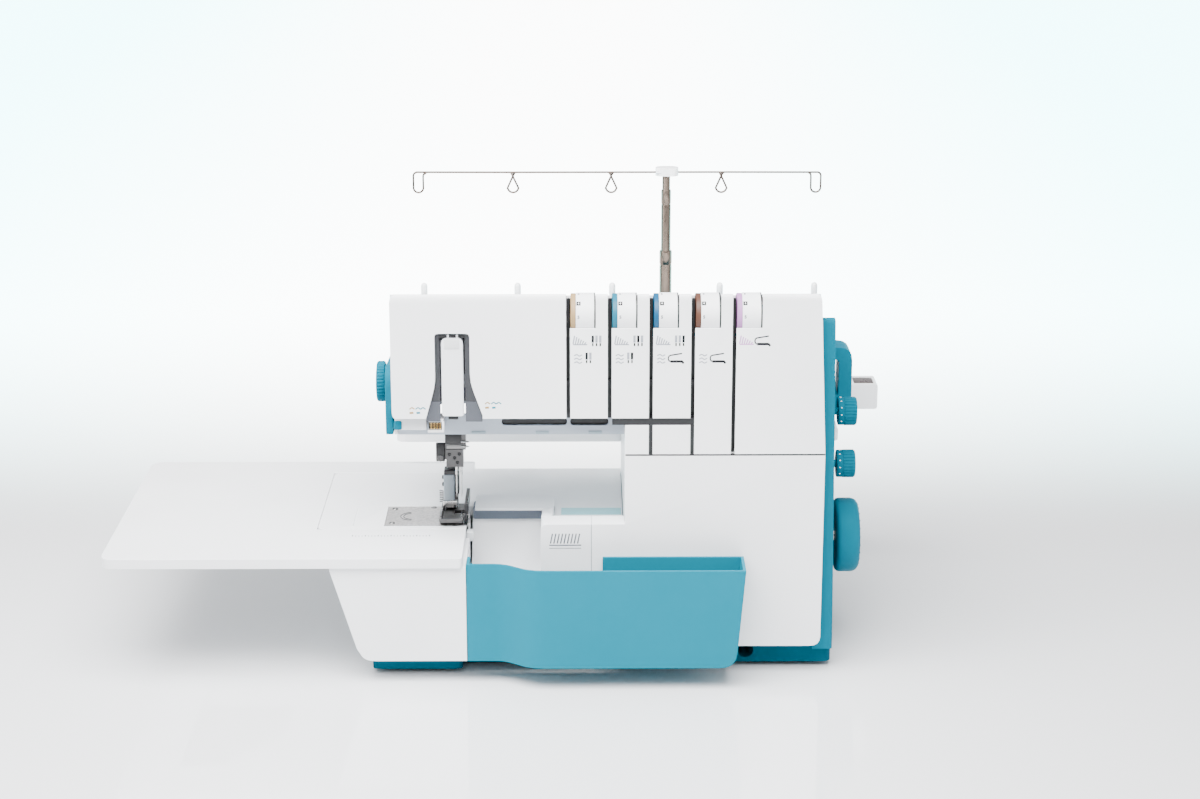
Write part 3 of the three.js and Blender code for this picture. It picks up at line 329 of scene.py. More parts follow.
# Colour of the painted shade in the chute's mouth.
CHUTE_SHADE = moulded("chute_shade", colour(112, 120, 134), 0.5)
RUBBER = rubber_like("black_rubber", colour(34, 34, 35))
FELT = rubber_like("spool_pad", colour(56, 58, 62))
INK_PALE = printed("pale_grey_ink", colour(142, 146, 154))
INK_GREY = printed("grey_ink", colour(92, 97, 104))
INK_BLACK = printed("black_ink", colour(20, 21, 24))
INK_WHITE = printed("white_ink", colour(233, 234, 236))
INK_AQUA = printed("aqua_ink", (0.002, 0.16, 0.23, 1))
INK_BEIGE = printed("beige_ink", colour(150, 120, 72))
INK_LILAC = printed("lilac_ink", colour(190, 142, 194))
GREY_LIGHT = moulded("light_grey_plastic", colour(205, 207, 209), 0.42)
CLIP = moulded("clip_grey", colour(140, 156, 166), 0.45)
HOLDER = moulded("holder_grey", colour(138, 148, 156), 0.4)
PALE_AQUA = moulded("pale_aqua", colour(150, 208, 214), 0.42)
SIGHT = moulded("dark_sight", colour(70, 62, 62), 0.25)
LENS = moulded("lamp_lens", colour(240, 240, 232), 0.2)
FLOOR = colour(228, 229, 231)
GLOW_MIDDLE = colour(250, 253, 253)
GLOW_SIDES = colour(178, 250, 255)
STRIPS = {
    "beige": (0.30, 0.20, 0.095, 1),
    "turquoise": (0.0001, 0.11, 0.175, 1),
    "blue": (0.0001, 0.065, 0.15, 1),
    "brown": (0.078, 0.031, 0.019, 1),
    "lilac": (0.36, 0.165, 0.38, 1),
}


# ---------------- mesh helpers
def put(name, bm, material, body="machine", sharp=38):
    """Turns a bmesh into a smooth-shaded piece that rides on a body."""
    bmesh.ops.recalc_face_normals(bm, faces=bm.faces)
    mesh = bpy.data.meshes.new(name)
    bm.to_mesh(mesh)
    bm.free()
    mesh.materials.append(material)
    mesh.shade_smooth()
    mesh.set_sharp_from_angle(angle=math.radians(sharp))
    piece = bpy.data.objects.new(name, mesh)
    bpy.context.scene.collection.objects.link(piece)
    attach(piece, body)
    return piece


def add_block(bm, x, y, z, bevel=0.4, segments=2):
    """A block between two values on each axis, with rounded edges."""
    low, high = at(x[0], y[0], z[0]), at(x[1], y[1], z[1])
    verts = bmesh.ops.create_cube(bm, size=1)["verts"]
    for vert in verts:
        vert.co = Vector(low[i] + (high[i] - low[i]) * (vert.co[i] + 0.5) for i in range(3))
    if bevel:
        edges = list({edge for vert in verts for edge in vert.link_edges})
        bmesh.ops.bevel(
            bm, geom=edges, offset=bevel * MM, segments=segments, profile=0.5,
            affect="EDGES", clamp_overlap=True,
        )


def block(name, x, y, z, material, body="machine", bevel=0.4, segments=2):
    """A piece of one block."""
    bm = bmesh.new()
    add_block(bm, x, y, z, bevel, segments)
    return put(name, bm, material, body)


def add_turned(bm, profile, centre, axis, sides=48, ribs=0, depth=0.0):
    """A turned body. Each profile step is (radius, place along the axis, ribbed or not), in mm."""
    across, up, along = SPINS[axis]
    rings = []
    for radius, step, *ribbed in profile:
        middle = centre + along * (step * MM)
        if radius == 0:
            rings.append([bm.verts.new(middle)])
            continue
        ring = []
        for i in range(sides):
            angle = 2 * math.pi * i / sides
            groove = max(0, math.cos(ribs * angle)) ** 2 * depth if ribs and ribbed and ribbed[0] else 0
            reach = (radius - groove) * MM
            ring.append(bm.verts.new(middle + (across * math.cos(angle) + up * math.sin(angle)) * reach))
        rings.append(ring)
    for first, second in zip(rings, rings[1:]):
        for i in range(sides):
            j = (i + 1) % sides
            if len(first) == 1 and len(second) == 1:
                continue
            if len(first) == 1:
                bm.faces.new((first[0], second[i], second[j]))
            elif len(second) == 1:
                bm.faces.new((first[i], first[j], second[0]))
            else:
                bm.faces.new((first[i], first[j], second[j], second[i]))


def turned(name, profile, centre, axis, material, body="machine", **options):
    """A piece of one turned body."""
    bm = bmesh.new()
    add_turned(bm, profile, centre, axis, **options)
    return put(name, bm, material, body)


def add_tube(bm, points, radius, sides=10, closed=False):
    """A round wire along points, in metres; its ends are capped unless it is closed."""
    count = len(points)
    rings = []
    normal = None
    for i, point in enumerate(points):
        before = points[i - 1] if closed or i else points[i]
        after = points[(i + 1) % count] if closed or i < count - 1 else points[i]
        heading = (after - before).normalized()
        if normal is None:
            normal = heading.orthogonal().normalized()
        normal = (normal - heading * normal.dot(heading)).normalized()
        other = heading.cross(normal)
        rings.append([
            bm.verts.new(point + (normal * math.cos(a) + other * math.sin(a)) * radius * MM)
            for a in (2 * math.pi * k / sides for k in range(sides))
        ])
    pairs = list(zip(rings, rings[1:]))
    if closed:
        pairs.append((rings[-1], rings[0]))
    for first, second in pairs:
        for k in range(sides):
            n = (k + 1) % sides
            bm.faces.new((first[k], first[n], second[n], second[k]))
    if not closed:
        bm.faces.new(rings[0])
        bm.faces.new(rings[-1])


def add_coil(bm, foot, reach, rise, turn, steps, wire):
    """An upright coil of wire: reach across x and y, and its rise and turn at each step."""
    points = []
    for k in range(steps):
        x = foot[0] + reach[0] * math.cos(turn * k)
        y = foot[1] + reach[1] * math.sin(turn * k)
        points.append(at(x, y, foot[2] + rise * k))
    add_tube(bm, points, wire, 6)


def add_plate(bm, corners, normal_axis, base, thick):
    """A flat plate: corners are pairs in the plane across the axis, in drawing millimetres."""
    def spot(u, v, w):
        return {"x": at(w, u, v), "y": at(u, w, v), "z": at(u, v, w)}[normal_axis]
    low = [bm.verts.new(spot(u, v, base)) for u, v in corners]
    high = [bm.verts.new(spot(u, v, base + thick)) for u, v in corners]
    bm.faces.new(low)
    bm.faces.new(high)
    for i in range(len(corners)):
        j = (i + 1) % len(corners)
        bm.faces.new((low[i], low[j], high[j], high[i]))


def rounded(u0, u1, v0, v1, radius, steps=6):
    """Corners of a rounded rectangle."""
    centres = (
        (u1 - radius, v1 - radius), (u0 + radius, v1 - radius),
        (u0 + radius, v0 + radius), (u1 - radius, v0 + radius),
    )
    corners = []
    for quarter, (u, v) in enumerate(centres):
        for step in range(steps + 1):
            angle = math.pi / 2 * (quarter + step / steps)
            corners.append((u + radius * math.cos(angle), v + radius * math.sin(angle)))
    return corners


def plate(name, corners, normal_axis, base, thick, material, body="machine"):
    """A piece of one flat plate with sharp edges."""
    bm = bmesh.new()
    add_plate(bm, corners, normal_axis, base, thick)
    return put(name, bm, material, body, sharp=30)


def soft_plate(name, corners, normal_axis, base, thick, material, bevel, body="machine"):
    """A flat plate with rounded edges."""
    bm = bmesh.new()
    add_plate(bm, corners, normal_axis, base, thick)
    bmesh.ops.recalc_face_normals(bm, faces=bm.faces)
    bmesh.ops.bevel(bm, geom=bm.edges[:], offset=bevel * MM, segments=3, profile=0.7, affect="EDGES")
    return put(name, bm, material, body)


def label(name, text, size, centre, right, up, material, body="machine"):
    """Raised print of a number, facing right x up."""
    curve = bpy.data.curves.new(name + "_outline", "FONT")
    curve.body = text
    curve.size = size * MM
    curve.extrude = 0.07 * MM
    curve.offset = 0.13 * MM  # thickens the strokes
    curve.align_x = "CENTER"
    curve.align_y = "CENTER"
    writer = bpy.data.objects.new(name + "_writer", curve)
    mesh = bpy.data.meshes.new_from_object(writer)
    bpy.data.objects.remove(writer)
    bpy.data.curves.remove(curve)
    right, up = right.normalized(), up.normalized()
    turn = Matrix((right, up, right.cross(up))).transposed().to_4x4()
    mesh.transform(Matrix.Translation(centre) @ turn)
    mesh.name = name
    mesh.materials.clear()
    mesh.materials.append(material)
    piece = bpy.data.objects.new(name, mesh)
    bpy.context.scene.collection.objects.link(piece)
    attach(piece, body)
    return piece


def screws(name, places, axis, radius, material, body="machine", towards=1):
    """Round screw heads with dished middles, as one piece; towards is the side that they face."""
    steps = ((0, 0.1), (0.3, 0.1), (0.42, 0.5), (0.85, 0.5), (1, 0.1), (1, -0.6), (0, -0.6))
    profile = [(radius * part, depth * towards) for part, depth in steps]
    bm = bmesh.new()
    for place in places:
        add_turned(bm, profile, at(*place), axis, sides=20)
    put(name, bm, material, body)


# ---------------- CAD pieces that keep their shape
def dress(node, material, bevel=0.5, segments=3, angle=32):
    """Gives a CAD node its material and soft edges."""
    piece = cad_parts[node]
    piece.data.materials.clear()
    piece.data.materials.append(material)
    piece.data.shade_smooth()
    weld = piece.modifiers.new("weld", "WELD")
    weld.merge_threshold = 0.00002
    merge = piece.modifiers.new("merge_flats", "DECIMATE")
    merge.decimate_type = "DISSOLVE"
    merge.angle_limit = math.radians(0.6)
    edge = piece.modifiers.new("soft_edges", "BEVEL")
    edge.width = bevel * MM
    edge.segments = segments
    edge.limit_method = "ANGLE"
    edge.angle_limit = math.radians(angle)
    edge.miter_outer = "MITER_ARC"
    edge.harden_normals = True
    shade = piece.modifiers.new("shading", "WEIGHTED_NORMAL")
    shade.keep_sharp = True


def dress_casings():
    for node in ("body_shell", "head_cover", "chute_cover", "free_arm_body", "looper_cover"):
        dress(node, WHITE, 0.6)
    for number in range(1, 6):
        dress(f"front_panel_{number}", WHITE, 0.3)
    dress("cloth_plate", WHITE, 0.4)
    dress("extension_table", WHITE, 1.6, 4)
    dress("waste_bin", AQUA, 0.7, 4)
    dress("rear_housing", TEAL, 0.9, 4)
    dress("side_cover", TEAL, 1.4, 4)
    dress("base_plate", TEAL_DARK, 0.9)
    dress("arm_underside", GREY, 0.8)
    dress("thread_channel", BLACK, 0.3)
    dress("take_up_cover", WHITE_SOFT, 0.7, 4)
    dress("carry_grip", TEAL, 3.2, 6)
    dress("threading_lever", WHITE, 1.6, 4)
    dress("lifter_lever", CHARCOAL, 1.2, 3)
    dress("power_socket", BLACK, 0.5)
    dress("power_switch", CHARCOAL, 0.6)
    for corner in ("front_left", "front_right", "rear_left", "rear_right"):
        dress("foot_" + corner, RUBBER, 0.8)


def dress_mechanism():
    dress("main_frame", CAST, 1.2)
    dress("motor", STEEL_DARK, 1.0)
    dress("motor_pulley", CAST, 0.5)
    dress("timing_belt", RUBBER, 0.3)
    for node in ("main_shaft", "take_up_lever", "upper_looper", "lower_looper"):
        dress(node, STEEL, 0.5)
    dress("needle_plate", STEEL_SATIN, 0.25)
    dress("feed_dogs", STEEL_DARK, 0.15, 2)
    dress("needle_bar", STEEL, 0.3)
    dress("needle_left", STEEL, 0.05, 2)
    dress("needle_right", STEEL, 0.05, 2)
    dress("presser_bar", STEEL_BLACK, 0.5)
    # The presser foot and the needle clamp take the steel with painted shade.
    dress("presser_foot", STEEL_PAINTED_SHADE, 0.4)
    dress("needle_clamp", STEEL_PAINTED_SHADE, 0.4)
    dress("upper_knife", STEEL_BLACK, 0.25)
    dress("lower_knife", STEEL, 0.2)


def dress_all():
    """Every CAD node gets a finish; one without its own becomes white plastic."""
    dress_casings()
    dress_mechanism()
    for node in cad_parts:
        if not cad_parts[node].modifiers:
            dress(node, WHITE, 0.5)


# ---------------- round controls
def number_directions(digit):
    """Outwards and upwards at a number's place on a tension wheel."""
    angle = math.radians((WHEEL_MIDDLE - digit) * WHEEL_STEP + WHEEL_TURN)
    out = Vector((0, -math.cos(angle), math.sin(angle)))
    up = Vector((0, math.sin(angle), math.cos(angle)))
    return out, up


def strip_wheel(number, strip):
    """One tension wheel: the thread colour on its left end, and numbers round its white face."""
    left = CHANNELS[number - 1] + 0.3
    radius, edge, width = DIAL["radius"], DIAL["strip"], DIAL["width"]
    profile = [(0, 0), (radius - 1, 0), (radius - 0.4, 0.5), (radius - 0.4, edge - 0.3)]
    profile += [(radius - 0.8, edge), (radius, edge + 0.4)]
    profile += [(radius, width - 0.7), (radius - 0.7, width), (0, width)]
    centre = at(left, DIAL["y"], DIAL["z"])
    body = f"tension_{number}"
    finish = dial_face(f"wheel_{strip}", STRIPS[strip], centre.x + (edge + 0.1) * MM)
    wheel = turned(f"tension_wheel_{number}", profile, centre, "x", finish, body, sides=96)
    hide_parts(f"tension_dial_{number}")
    rim = [(0, 0), (radius + 0.05, 0), (radius + 0.05, 0.85), (0, 0.85)]
    turned(f"wheel_{number}_rim", rim, centre + X * (width - 0.5) * MM, "x", BLACK, body, sides=96)
    middle = centre + X * (edge + 2.2) * MM
    for digit in range(1, 10):
        out, up = number_directions(digit)
        size, ink, lift = NUMBER_SIZE, INK_GREY, 0
        if digit == STANDARD_NUMBER:
            size, ink, lift = STANDARD_SIZE, INK_WHITE, 0.1
        spot = middle + out * (radius + lift) * MM
        label(f"wheel_{number}_mark_{digit}", str(digit), size, spot, X, up, ink, body)
    tile_standard_setting(number, middle, body)


def tile_standard_setting(number, middle, body):
    """The small dark tile under the number of the usual setting."""
    out, up = number_directions(STANDARD_NUMBER)
    turns = ((-1, -1), (1, -1), (1, 1), (-1, 1))
    bm = bmesh.new()
    rings = []
    for height in (-0.3, 0.12):
        centre = middle + out * (DIAL["radius"] + height) * MM
        rings.append([bm.verts.new(centre + (X * u + up * v) * TILE_HALF * MM) for u, v in turns])
    low, high = rings
    bm.faces.new(high)
    bm.faces.new(low[::-1])
    for k in range(4):
        n = (k + 1) % 4
        bm.faces.new((low[k], low[n], high[n], high[k]))
    put(f"wheel_{number}_tile", bm, INK_BLACK, body)


def ribbed_knob(name, node, centre, profile, body, ribs, depth, marks=0, mark_radius=0):
    """A turquoise knob with a gripping edge and a ring of white marks."""
    knob = turned(name, profile, centre, "x", TEAL, body, sides=ribs * 8, ribs=ribs, depth=depth)
    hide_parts(node)
    if not marks:
        return
    bm = bmesh.new()
    for i in range(marks):
        angle = math.radians(-120 + 240 * i / (marks - 1))
        spot = centre + (X * 2.1 + (Z * math.sin(angle) - Y * math.cos(angle)) * mark_radius) * MM
        turn = Matrix.Translation(spot) @ Matrix.Diagonal((1.3, 1, 1, 1))
        bmesh.ops.create_icosphere(bm, subdivisions=2, radius=0.55 * MM, matrix=turn)
    put(name + "_marks", bm, WHITE, body)


def make_controls():
    """The wheels on top, the knobs on both sides and the handwheel."""
    for number, strip in enumerate(STRIPS, 1):
        strip_wheel(number, strip)
    left_profile = [(0, 0), (13.6, 0), (13.6, -2), (15.2, -2.2), (15.8, -3, True), (15.8, -7.4, True)]
    left_profile += [(14.8, -8.5), (13.2, -8.7), (0, -8.7)]
    ribbed_knob("pressure_grip", "pressure_knob", at(*PRESSURE_KNOB), left_profile, "pressure", 36, 0.9)
    for name, node, z, radius, body in SIDE_KNOBS:
        rim = radius - 0.5
        profile = [(0, -6), (3, -6), (3, 0), (rim, 0), (radius - 0.2, 0.4), (radius - 0.2, 4.2), (rim, 4.5)]
        profile += [(radius, 4.9, True), (radius, 13.2, True)]
        profile += [(radius - 1, 14.4), (radius - 2.4, 14.6), (0, 14.6)]
        centre = at(HOUSING_RIGHT, CONTROL_Y, z)
        ribbed_knob(name, node, centre, profile, body, 26, 0.7, 9, radius - 0.25)
    make_handwheel()


def make_handwheel():
    profile = [(0, 0), (24, 0), (27.6, 0.7), (28.9, 2), (29.3, 4), (29.3, 12.5), (28.8, 15), (27.6, 17)]
    profile += [(25.6, 18.3), (23.4, 18.6), (21.8, 18), (20.6, 16.4), (9, 15.8)]
    profile += [(8.2, 17.2), (7, 17.6), (0, 17.6)]
    wheel = turned("hand_wheel", profile, at(HOUSING_RIGHT, *SHAFT), "x", TEAL, "drive", sides=96)
    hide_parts("handwheel")
    bm = bmesh.new()
    for i in range(WHEEL_GRIPS):
        angle = 2 * math.pi * i / WHEEL_GRIPS
        out = Y * math.cos(angle) + Z * math.sin(angle)
        start = at(225.1, *SHAFT) + out * 22.8 * MM
        add_tube(bm, [start, start + out * 2.6 * MM + X * 0.2 * MM], 0.5, 8)
    put("hand_wheel_grips", bm, TEAL, "drive")


# ---------------- thread stand
def make_mast():
    """The three telescopic tubes, each (radius, height) along its outline."""
    centre = at(MAST_X, STAND_Y, 0)
    base = [(4.5, 126.4), (5.2, 126.4), (5.2, 269), (5.05, 269.4), (5.05, 271), (5.35, 271.4)]
    base += [(5.35, 280.8), (5.0, 282), (4.45, 282), (4.45, 126.4)]
    middle = [(3.7, 212), (4.1, 212), (4.1, 321), (3.95, 321.4), (3.95, 322.6), (4.2, 323), (4.2, 333)]
    middle += [(3.9, 334), (3.65, 334), (3.65, 212)]
    top = [(0, 240), (3.3, 240), (3.3, 345.4), (3, 346), (0, 346)]
    for name, node, profile, body in (
        ("mast_tube_1", "mast_base", base, "machine"),
        ("mast_tube_2", "mast_middle", middle, "mast_middle_tube"),
        ("mast_tube_3", "mast_top", top, "mast_top_tube"),
    ):
        tube = turned(name, profile, centre, "z", TUBE, body, sides=48)
        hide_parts(node)


def hairpin(x, side, steps=8):
    """The long rounded loop at one end of the wire; side is -1 at the left end and 1 at the right."""
    top, low, half, round_top = GUIDE_Z, GUIDE_Z - LOOP_DROP, 4.1, 3.2
    points = [(x - side * half - side * 1.5, top, 0.9), (x + side * (half - round_top), top, 0.9)]
    for i in range(1, steps + 1):
        a = math.pi / 2 * i / steps
        across = half - round_top + round_top * math.sin(a)
        points.append((x + side * across, top - round_top * (1 - math.cos(a)), 0.5))
    for i in range(2 * steps + 1):
        a = math.pi * i / (2 * steps)
        points.append((x + side * half * math.cos(a), low + half - half * math.sin(a), 0))
    points.append((x - side * half, top - 4, -0.5))
    points.append((x - side * (half + 0.6), top - 1.6, -0.8))
    points.append((x - side * (half + 2.6), top - 0.4, -0.9))
    return points


def teardrop(x, steps=12):
    """A crossed loop that hangs from the wire."""
    low, half = GUIDE_Z - LOOP_DROP, 4.4
    neck = ((3.4, 0, 0), (1.8, 0.5, 0), (0.6, 2, 0.6), (-0.5, 4.4, 0.9))
    points = [(x - out, GUIDE_Z - drop, -swing) for out, drop, swing in neck]
    for i in range(steps + 1):
        a = math.pi * i / steps
        height = low + 0.95 * half * (1 - math.sin(a))
        points.append((x + half * math.cos(a), height, -0.3 + 0.6 * i / steps))
    return points + [(x + out, GUIDE_Z - drop, swing) for out, drop, swing in reversed(neck)]


def smooth_path(points, steps=4):
    """Points of a soft curve through drawing places (x, z, y offset)."""
    spots = [at(x, STAND_Y + y, z) for x, z, y in points]
    path = [spots[0]]
    for i in range(len(spots) - 1):
        before = spots[max(i - 1, 0)]
        after = spots[min(i + 2, len(spots) - 1)]
        a, b = spots[i], spots[i + 1]
        if (b - a).length > 8 * MM:
            path.append(b)
            continue
        for k in range(1, steps + 1):
            t = k / steps
            ends = (2 * t ** 3 - 3 * t ** 2 + 1) * a + (3 * t ** 2 - 2 * t ** 3) * b
            swings = (t ** 3 - 2 * t ** 2 + t) * (b - before) / 2 + (t ** 3 - t ** 2) * (after - a) / 2
            path.append(ends + swings)
    return path


def make_guide():
    """The bent wire with its five loops, and the white hub that holds it."""
    left, right = MAST_X - 207, MAST_X + 125
    points = list(reversed(hairpin(left, -1)))
    for offset in TEARDROPS:
        points += teardrop(MAST_X + offset)
    points += [(x, z, -y) for x, z, y in hairpin(right, 1)]
    bm = bmesh.new()
    add_tube(bm, smooth_path(points), 0.85, 10)
    wire = put("guide_wire", bm, WIRE, "thread_guide", sharp=60)
    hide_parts("guide_bar")
    bm = bmesh.new()
    corners = rounded(MAST_X - 9, MAST_X + 10, STAND_Y - 6, STAND_Y + 6, 4.5)
    add_plate(bm, corners, "z", GUIDE_Z - 2.6, 6.6)
    bmesh.ops.bevel(
        bm, geom=bm.edges[:], offset=0.9 * MM, segments=3, profile=0.5, affect="EDGES", clamp_overlap=True,
    )
    put("guide_hub", bm, WHITE, "thread_guide")
    block(
        "guide_hub_seam", (MAST_X - 9.1, MAST_X - 4), (STAND_Y - 6.1, STAND_Y - 5),
        (GUIDE_Z - 0.2, GUIDE_Z + 0.2), GREY, "thread_guide", bevel=0,
    )


def make_spool_seats():
    """Soft dark pads under the spools, and rounded caps on the pins."""
    for number, offset in enumerate(PIN_OFFSETS, 1):
        centre = at(MAST_X + offset, STAND_Y, TRAY_TOP)
        pad = [(2.7, 3.05), (14.6, 3.05), (15.2, 3.5), (14.8, 4.3), (3.2, 4.3), (2.7, 4)]
        turned(f"spool_pad_{number}", pad + pad[:1], centre, "z", FELT, sides=48)
        cap = [(2.55, 112), (2.75, 112.6), (2.75, 119.4), (2.3, 121), (1.3, 122), (0, 122.3)]
        turned(f"pin_cap_{number}", [(0, 112)] + cap, centre, "z", WHITE, sides=32)


# ---------------- the head and under the arm
def make_take_up_trim():
    """The dark frame and floor of the take-up slot, and small marks of its white guard; the grey on its
    bevel is painted shade.
    """
    bm = bmesh.new()
    # A light grey plate on the guard's bevel: painted shade on the white guard.
    add_block(bm, (-95.6, -84.3), (1.75, 2.3), (261.5, 268.6), 0.25)
    put("guard_bevel_painted_shade", bm, GREY_LIGHT, "machine")
    block("slot_top", (-99.6, -80.2), (3.5, 4.9), (269.9, 273.4), BLACK, bevel=0.2)
    bm = bmesh.new()
    for x in (-93.6, -86.8):
        add_block(bm, (x, x + 1.5), (2.7, 3.7), (269.2, 272.6), 0.3)
    put("guard_prongs", bm, WHITE_SOFT)
    block("guard_slot", (-93.7, -86.2), (3.6, 6.2), (205.9, 208.2), BLACK, bevel=0.5)
    edge = [
        (FLARE_LEFT, SLOT_FOOT), (FLARE_LEFT, 207), (-102.7, 234), (-102.7, 273.7), (-76.8, 273.7),
        (-76.8, 236), (FLARE_RIGHT, 210), (FLARE_RIGHT, SLOT_FOOT), (SLOT_RIGHT, SLOT_FOOT),
        (SLOT_RIGHT, SLOT_HEAD), (SLOT_LEFT, SLOT_HEAD), (SLOT_LEFT, SLOT_FOOT),
    ]
    plate("slot_edge", edge, "y", 3.6, 1.2, SLOT_EDGE)
    sides = ((FLARE_LEFT, -106.5, SLOT_LEFT), (FLARE_RIGHT, -71.9, SLOT_RIGHT))
    for number, (low, high, inner) in enumerate(sides, 1):
        corners = [(low, 204.4), (low, 207), (high, 220), (inner, 220), (inner, 204.4)]
        plate(f"slot_floor_{number}", corners, "y", 3.1, 0.6, SLOT_FLOOR)


def make_low_channels():
    """The dark bottoms of the two channels in the low panel."""
    gap = 0.06
    for number, (right, front) in enumerate(((CHANNELS[2], 0.8), (CHANNELS[3], 1.28)), 1):
        x = (right - CHANNEL_WIDTH + gap, right - gap)
        z = (SEAM + 0.5, LOW_PANEL_TOP)
        block(f"low_channel_{number}", x, (front, front + 0.58), z, BLACK, bevel=0)


def make_head_foot():
    """The lower left of the head: a grey face, the side cover's corner and four gilded thread guides."""
    block("head_foot", (-134.6, -110.6), (7, 19.6), (196.4, 206.6), GREY_LIGHT, bevel=0.8, segments=3)
    block("corner_clip", (-135.4, -129.2), (5.8, 19.2), (196.8, 203.9), TEAL, bevel=1.2, segments=3)
    block("guide_frame_top", (-108.6, -97.4), (4.2, 19.6), (203.6, 206), WHITE_SOFT, bevel=0.4)
    block("guide_frame_side", (-98.6, -97.0), (4.2, 19.6), (196, 204), WHITE_SOFT, bevel=0.4)
    block("guide_frame_base", (-109.4, -97.0), (4.2, 19.6), (195.2, 196.8), GREY_LIGHT, bevel=0.4)
    block("guide_recess", (-109, -98.4), (9.2, 19.4), (196.6, 203.8), BLACK, bevel=0)
    bm = bmesh.new()
    for i in range(4):
        add_coil(bm, (-107 + 2.3 * i, 6.8, 197), (0.75, 0.9), 0.2, 0.9, 33, 0.24)
    put("gold_thread_guides", bm, GOLD)


def make_arm_trim():
    """Clips along the lower edge of the arm, the back of its slots, the lamp's lens and the vents."""
    for number, (x0, x1) in enumerate(((-77, -66.4), (-28, -18), (12.4, 22.6)), 1):
        block(f"arm_clip_{number}", (x0, x1), (19.2, 21), (189.4, 191.6), CLIP, bevel=0.3)
    block("slot_backing", (-56, 30), (22.6, 24.2), (193.5, 204), BLACK, bevel=0)
    block("lamp_lens", (-72, -58), (40, 64), (188.2, 189.6), LENS, bevel=0.6)
    bm = bmesh.new()
    for i in range(9):
        add_block(bm, (-50 + i * 9.4, -46.5 + i * 9.4), (118, 140), (188.4, 189.4), 0.3)
    put("arm_vents", bm, BLACK)


def make_needle_trim():
    """Screws and fittings of the needle clamp; they travel with the needles."""
    group = "needle_group"
    block("clamp_cap", (-100.7, -87.6), (70.6, 83.4), (165.4, 174), STEEL_BLACK, group, 0.7, 3)
    block("clamp_collar", (-99.6, -84.6), (71.4, 82.6), (160.6, 164.8), STEEL_DARK, group, 0.6, 3)
    places = [(x, 70.9, z) for x, z in ((-97.4, 156.2), (-93.4, 153.4), (-89.6, 156.6), (-91.2, 149.6))]
    screws("clamp_screws", places, "y", 1.5, STEEL_BLACK, group, -1)
    block("thread_bracket", (-108.2, -101), (73.6, 75.2), (149.6, 165.4), STEEL_BLACK, group, 0.7, 3)
    # This screw head takes the steel with painted shade.
    screws("bracket_screw", [(-104.7, 73.3, 152.6)], "y", 2.8, STEEL_PAINTED_SHADE, group, -1)
    bm = bmesh.new()
    for z in (167, 163.2):
        path = [at(-88, 70.4, z), at(-83.4, 69.6, z), at(-82, 71.6, z - 0.4), at(-84.4, 74, z - 0.6)]
        add_tube(bm, path, 0.45, 8)
    put("needle_thread_hooks", bm, STEEL, group)


def make_presser_trim():
    """The holder, spring and screws above the presser foot."""
    group = "presser"
    block("foot_holder", (-103.2, -94.6), (85.4, 98), (112.4, 134.4), HOLDER, group, 0.8, 3)
    block("foot_ankle", (-104, -92.4), (82, 98), (108, 113.6), STEEL, group, 0.7, 3)
    bm = bmesh.new()
    add_coil(bm, (-105.4, 90, 110), (1.5, 1.5), 0.17, 0.7, 60, 0.35)
    put("ankle_spring", bm, STEEL_BLACK, group)
    screws("holder_screws", [(-104.2, 91, z) for z in (131, 125)], "x", 1.7, STEEL_BLACK, group, -1)
    bm = bmesh.new()
    left_wire = ((52, 106.8), (60, 109), (74, 109.6), (86, 108))
    right_wire = ((52, 106.8), (60, 109), (70, 109.4))  # it ends in front of the right needle
    for x, wire in ((-104.2, left_wire), (-88, right_wire)):
        add_tube(bm, [at(x, y, z) for y, z in wire], 0.55, 8)
    put("foot_side_wires", bm, STEEL, group)
    # The toe takes the steel with painted shade.
    block("foot_toe", (-104.6, -86.8), (49.6, 52), (106.6, 109.4), STEEL_PAINTED_SHADE, group, 0.6, 3)


def make_plate_trim():
    """Screws, arcs and lines on the needle plate and the cloth plate."""
    places = [(x, y, BED) for x, y in ((-143, 60), (-143, 94), (-112, 97))]
    screws("plate_screws", places, "z", 2.4, STEEL_DARK)
    bm = bmesh.new()
    for radius in (7, 9.4):
        angles = [math.radians(100 + 14 * k) for k in range(13)]
        arc = [at(-128 + radius * math.cos(a), 76 + radius * math.sin(a), BED + 0.05) for a in angles]
        add_tube(bm, arc, 0.28, 6)
    put("plate_arcs", bm, INK_BLACK)
    block("plate_shadow_line", (-149, -84), (53.3, 53.9), (102.4, BED + 0.04), INK_GREY, bevel=0)
    bm = bmesh.new()
    for i in range(25):
        left = -172 + 2.5 * i
        back = 30.6 if i % 4 else 32
        add_block(bm, (left, left + 0.8), (29.4, back), (BED, BED + 0.12), 0)
    put("cloth_scale", bm, INK_GREY, "table")


# ---------------- prints on the covers
def print_marks(name, bars, material, body="machine"):
    """Thin raised print on the front plane; each bar is (x0, z0, x1, z1, half width)."""
    bm = bmesh.new()
    for x0, z0, x1, z1, half in bars:
        along = Vector((x1 - x0, z1 - z0)).normalized()
        side = Vector((-along.y, along.x)) * half
        ends = ((x0, z0, 1), (x0, z0, -1), (x1, z1, -1), (x1, z1, 1))
        corners = [(x + way * side.x, z + way * side.y) for x, z, way in ends]
        add_plate(bm, corners, "y", -0.06, 0.1)
    put(name, bm, material, body)


def stitch_block(x, z):
    """A small wedge of parallel stitch lines."""
    lines = [(x + 1.7 * i, z, x + 1.7 * i + 1.1, z + 6.4 - i, 0.48) for i in range(6)]
    return lines + [(x, z - 0.4, x + 10.6, z - 0.4, 0.45)]


def needle_shanks(x, z, places):
    """The thick upper ends of needles at some places of a row."""
    return [(x + NEEDLE_PITCH * i, z + 3, x + NEEDLE_PITCH * i, z + 8.4, 0.9) for i in places]


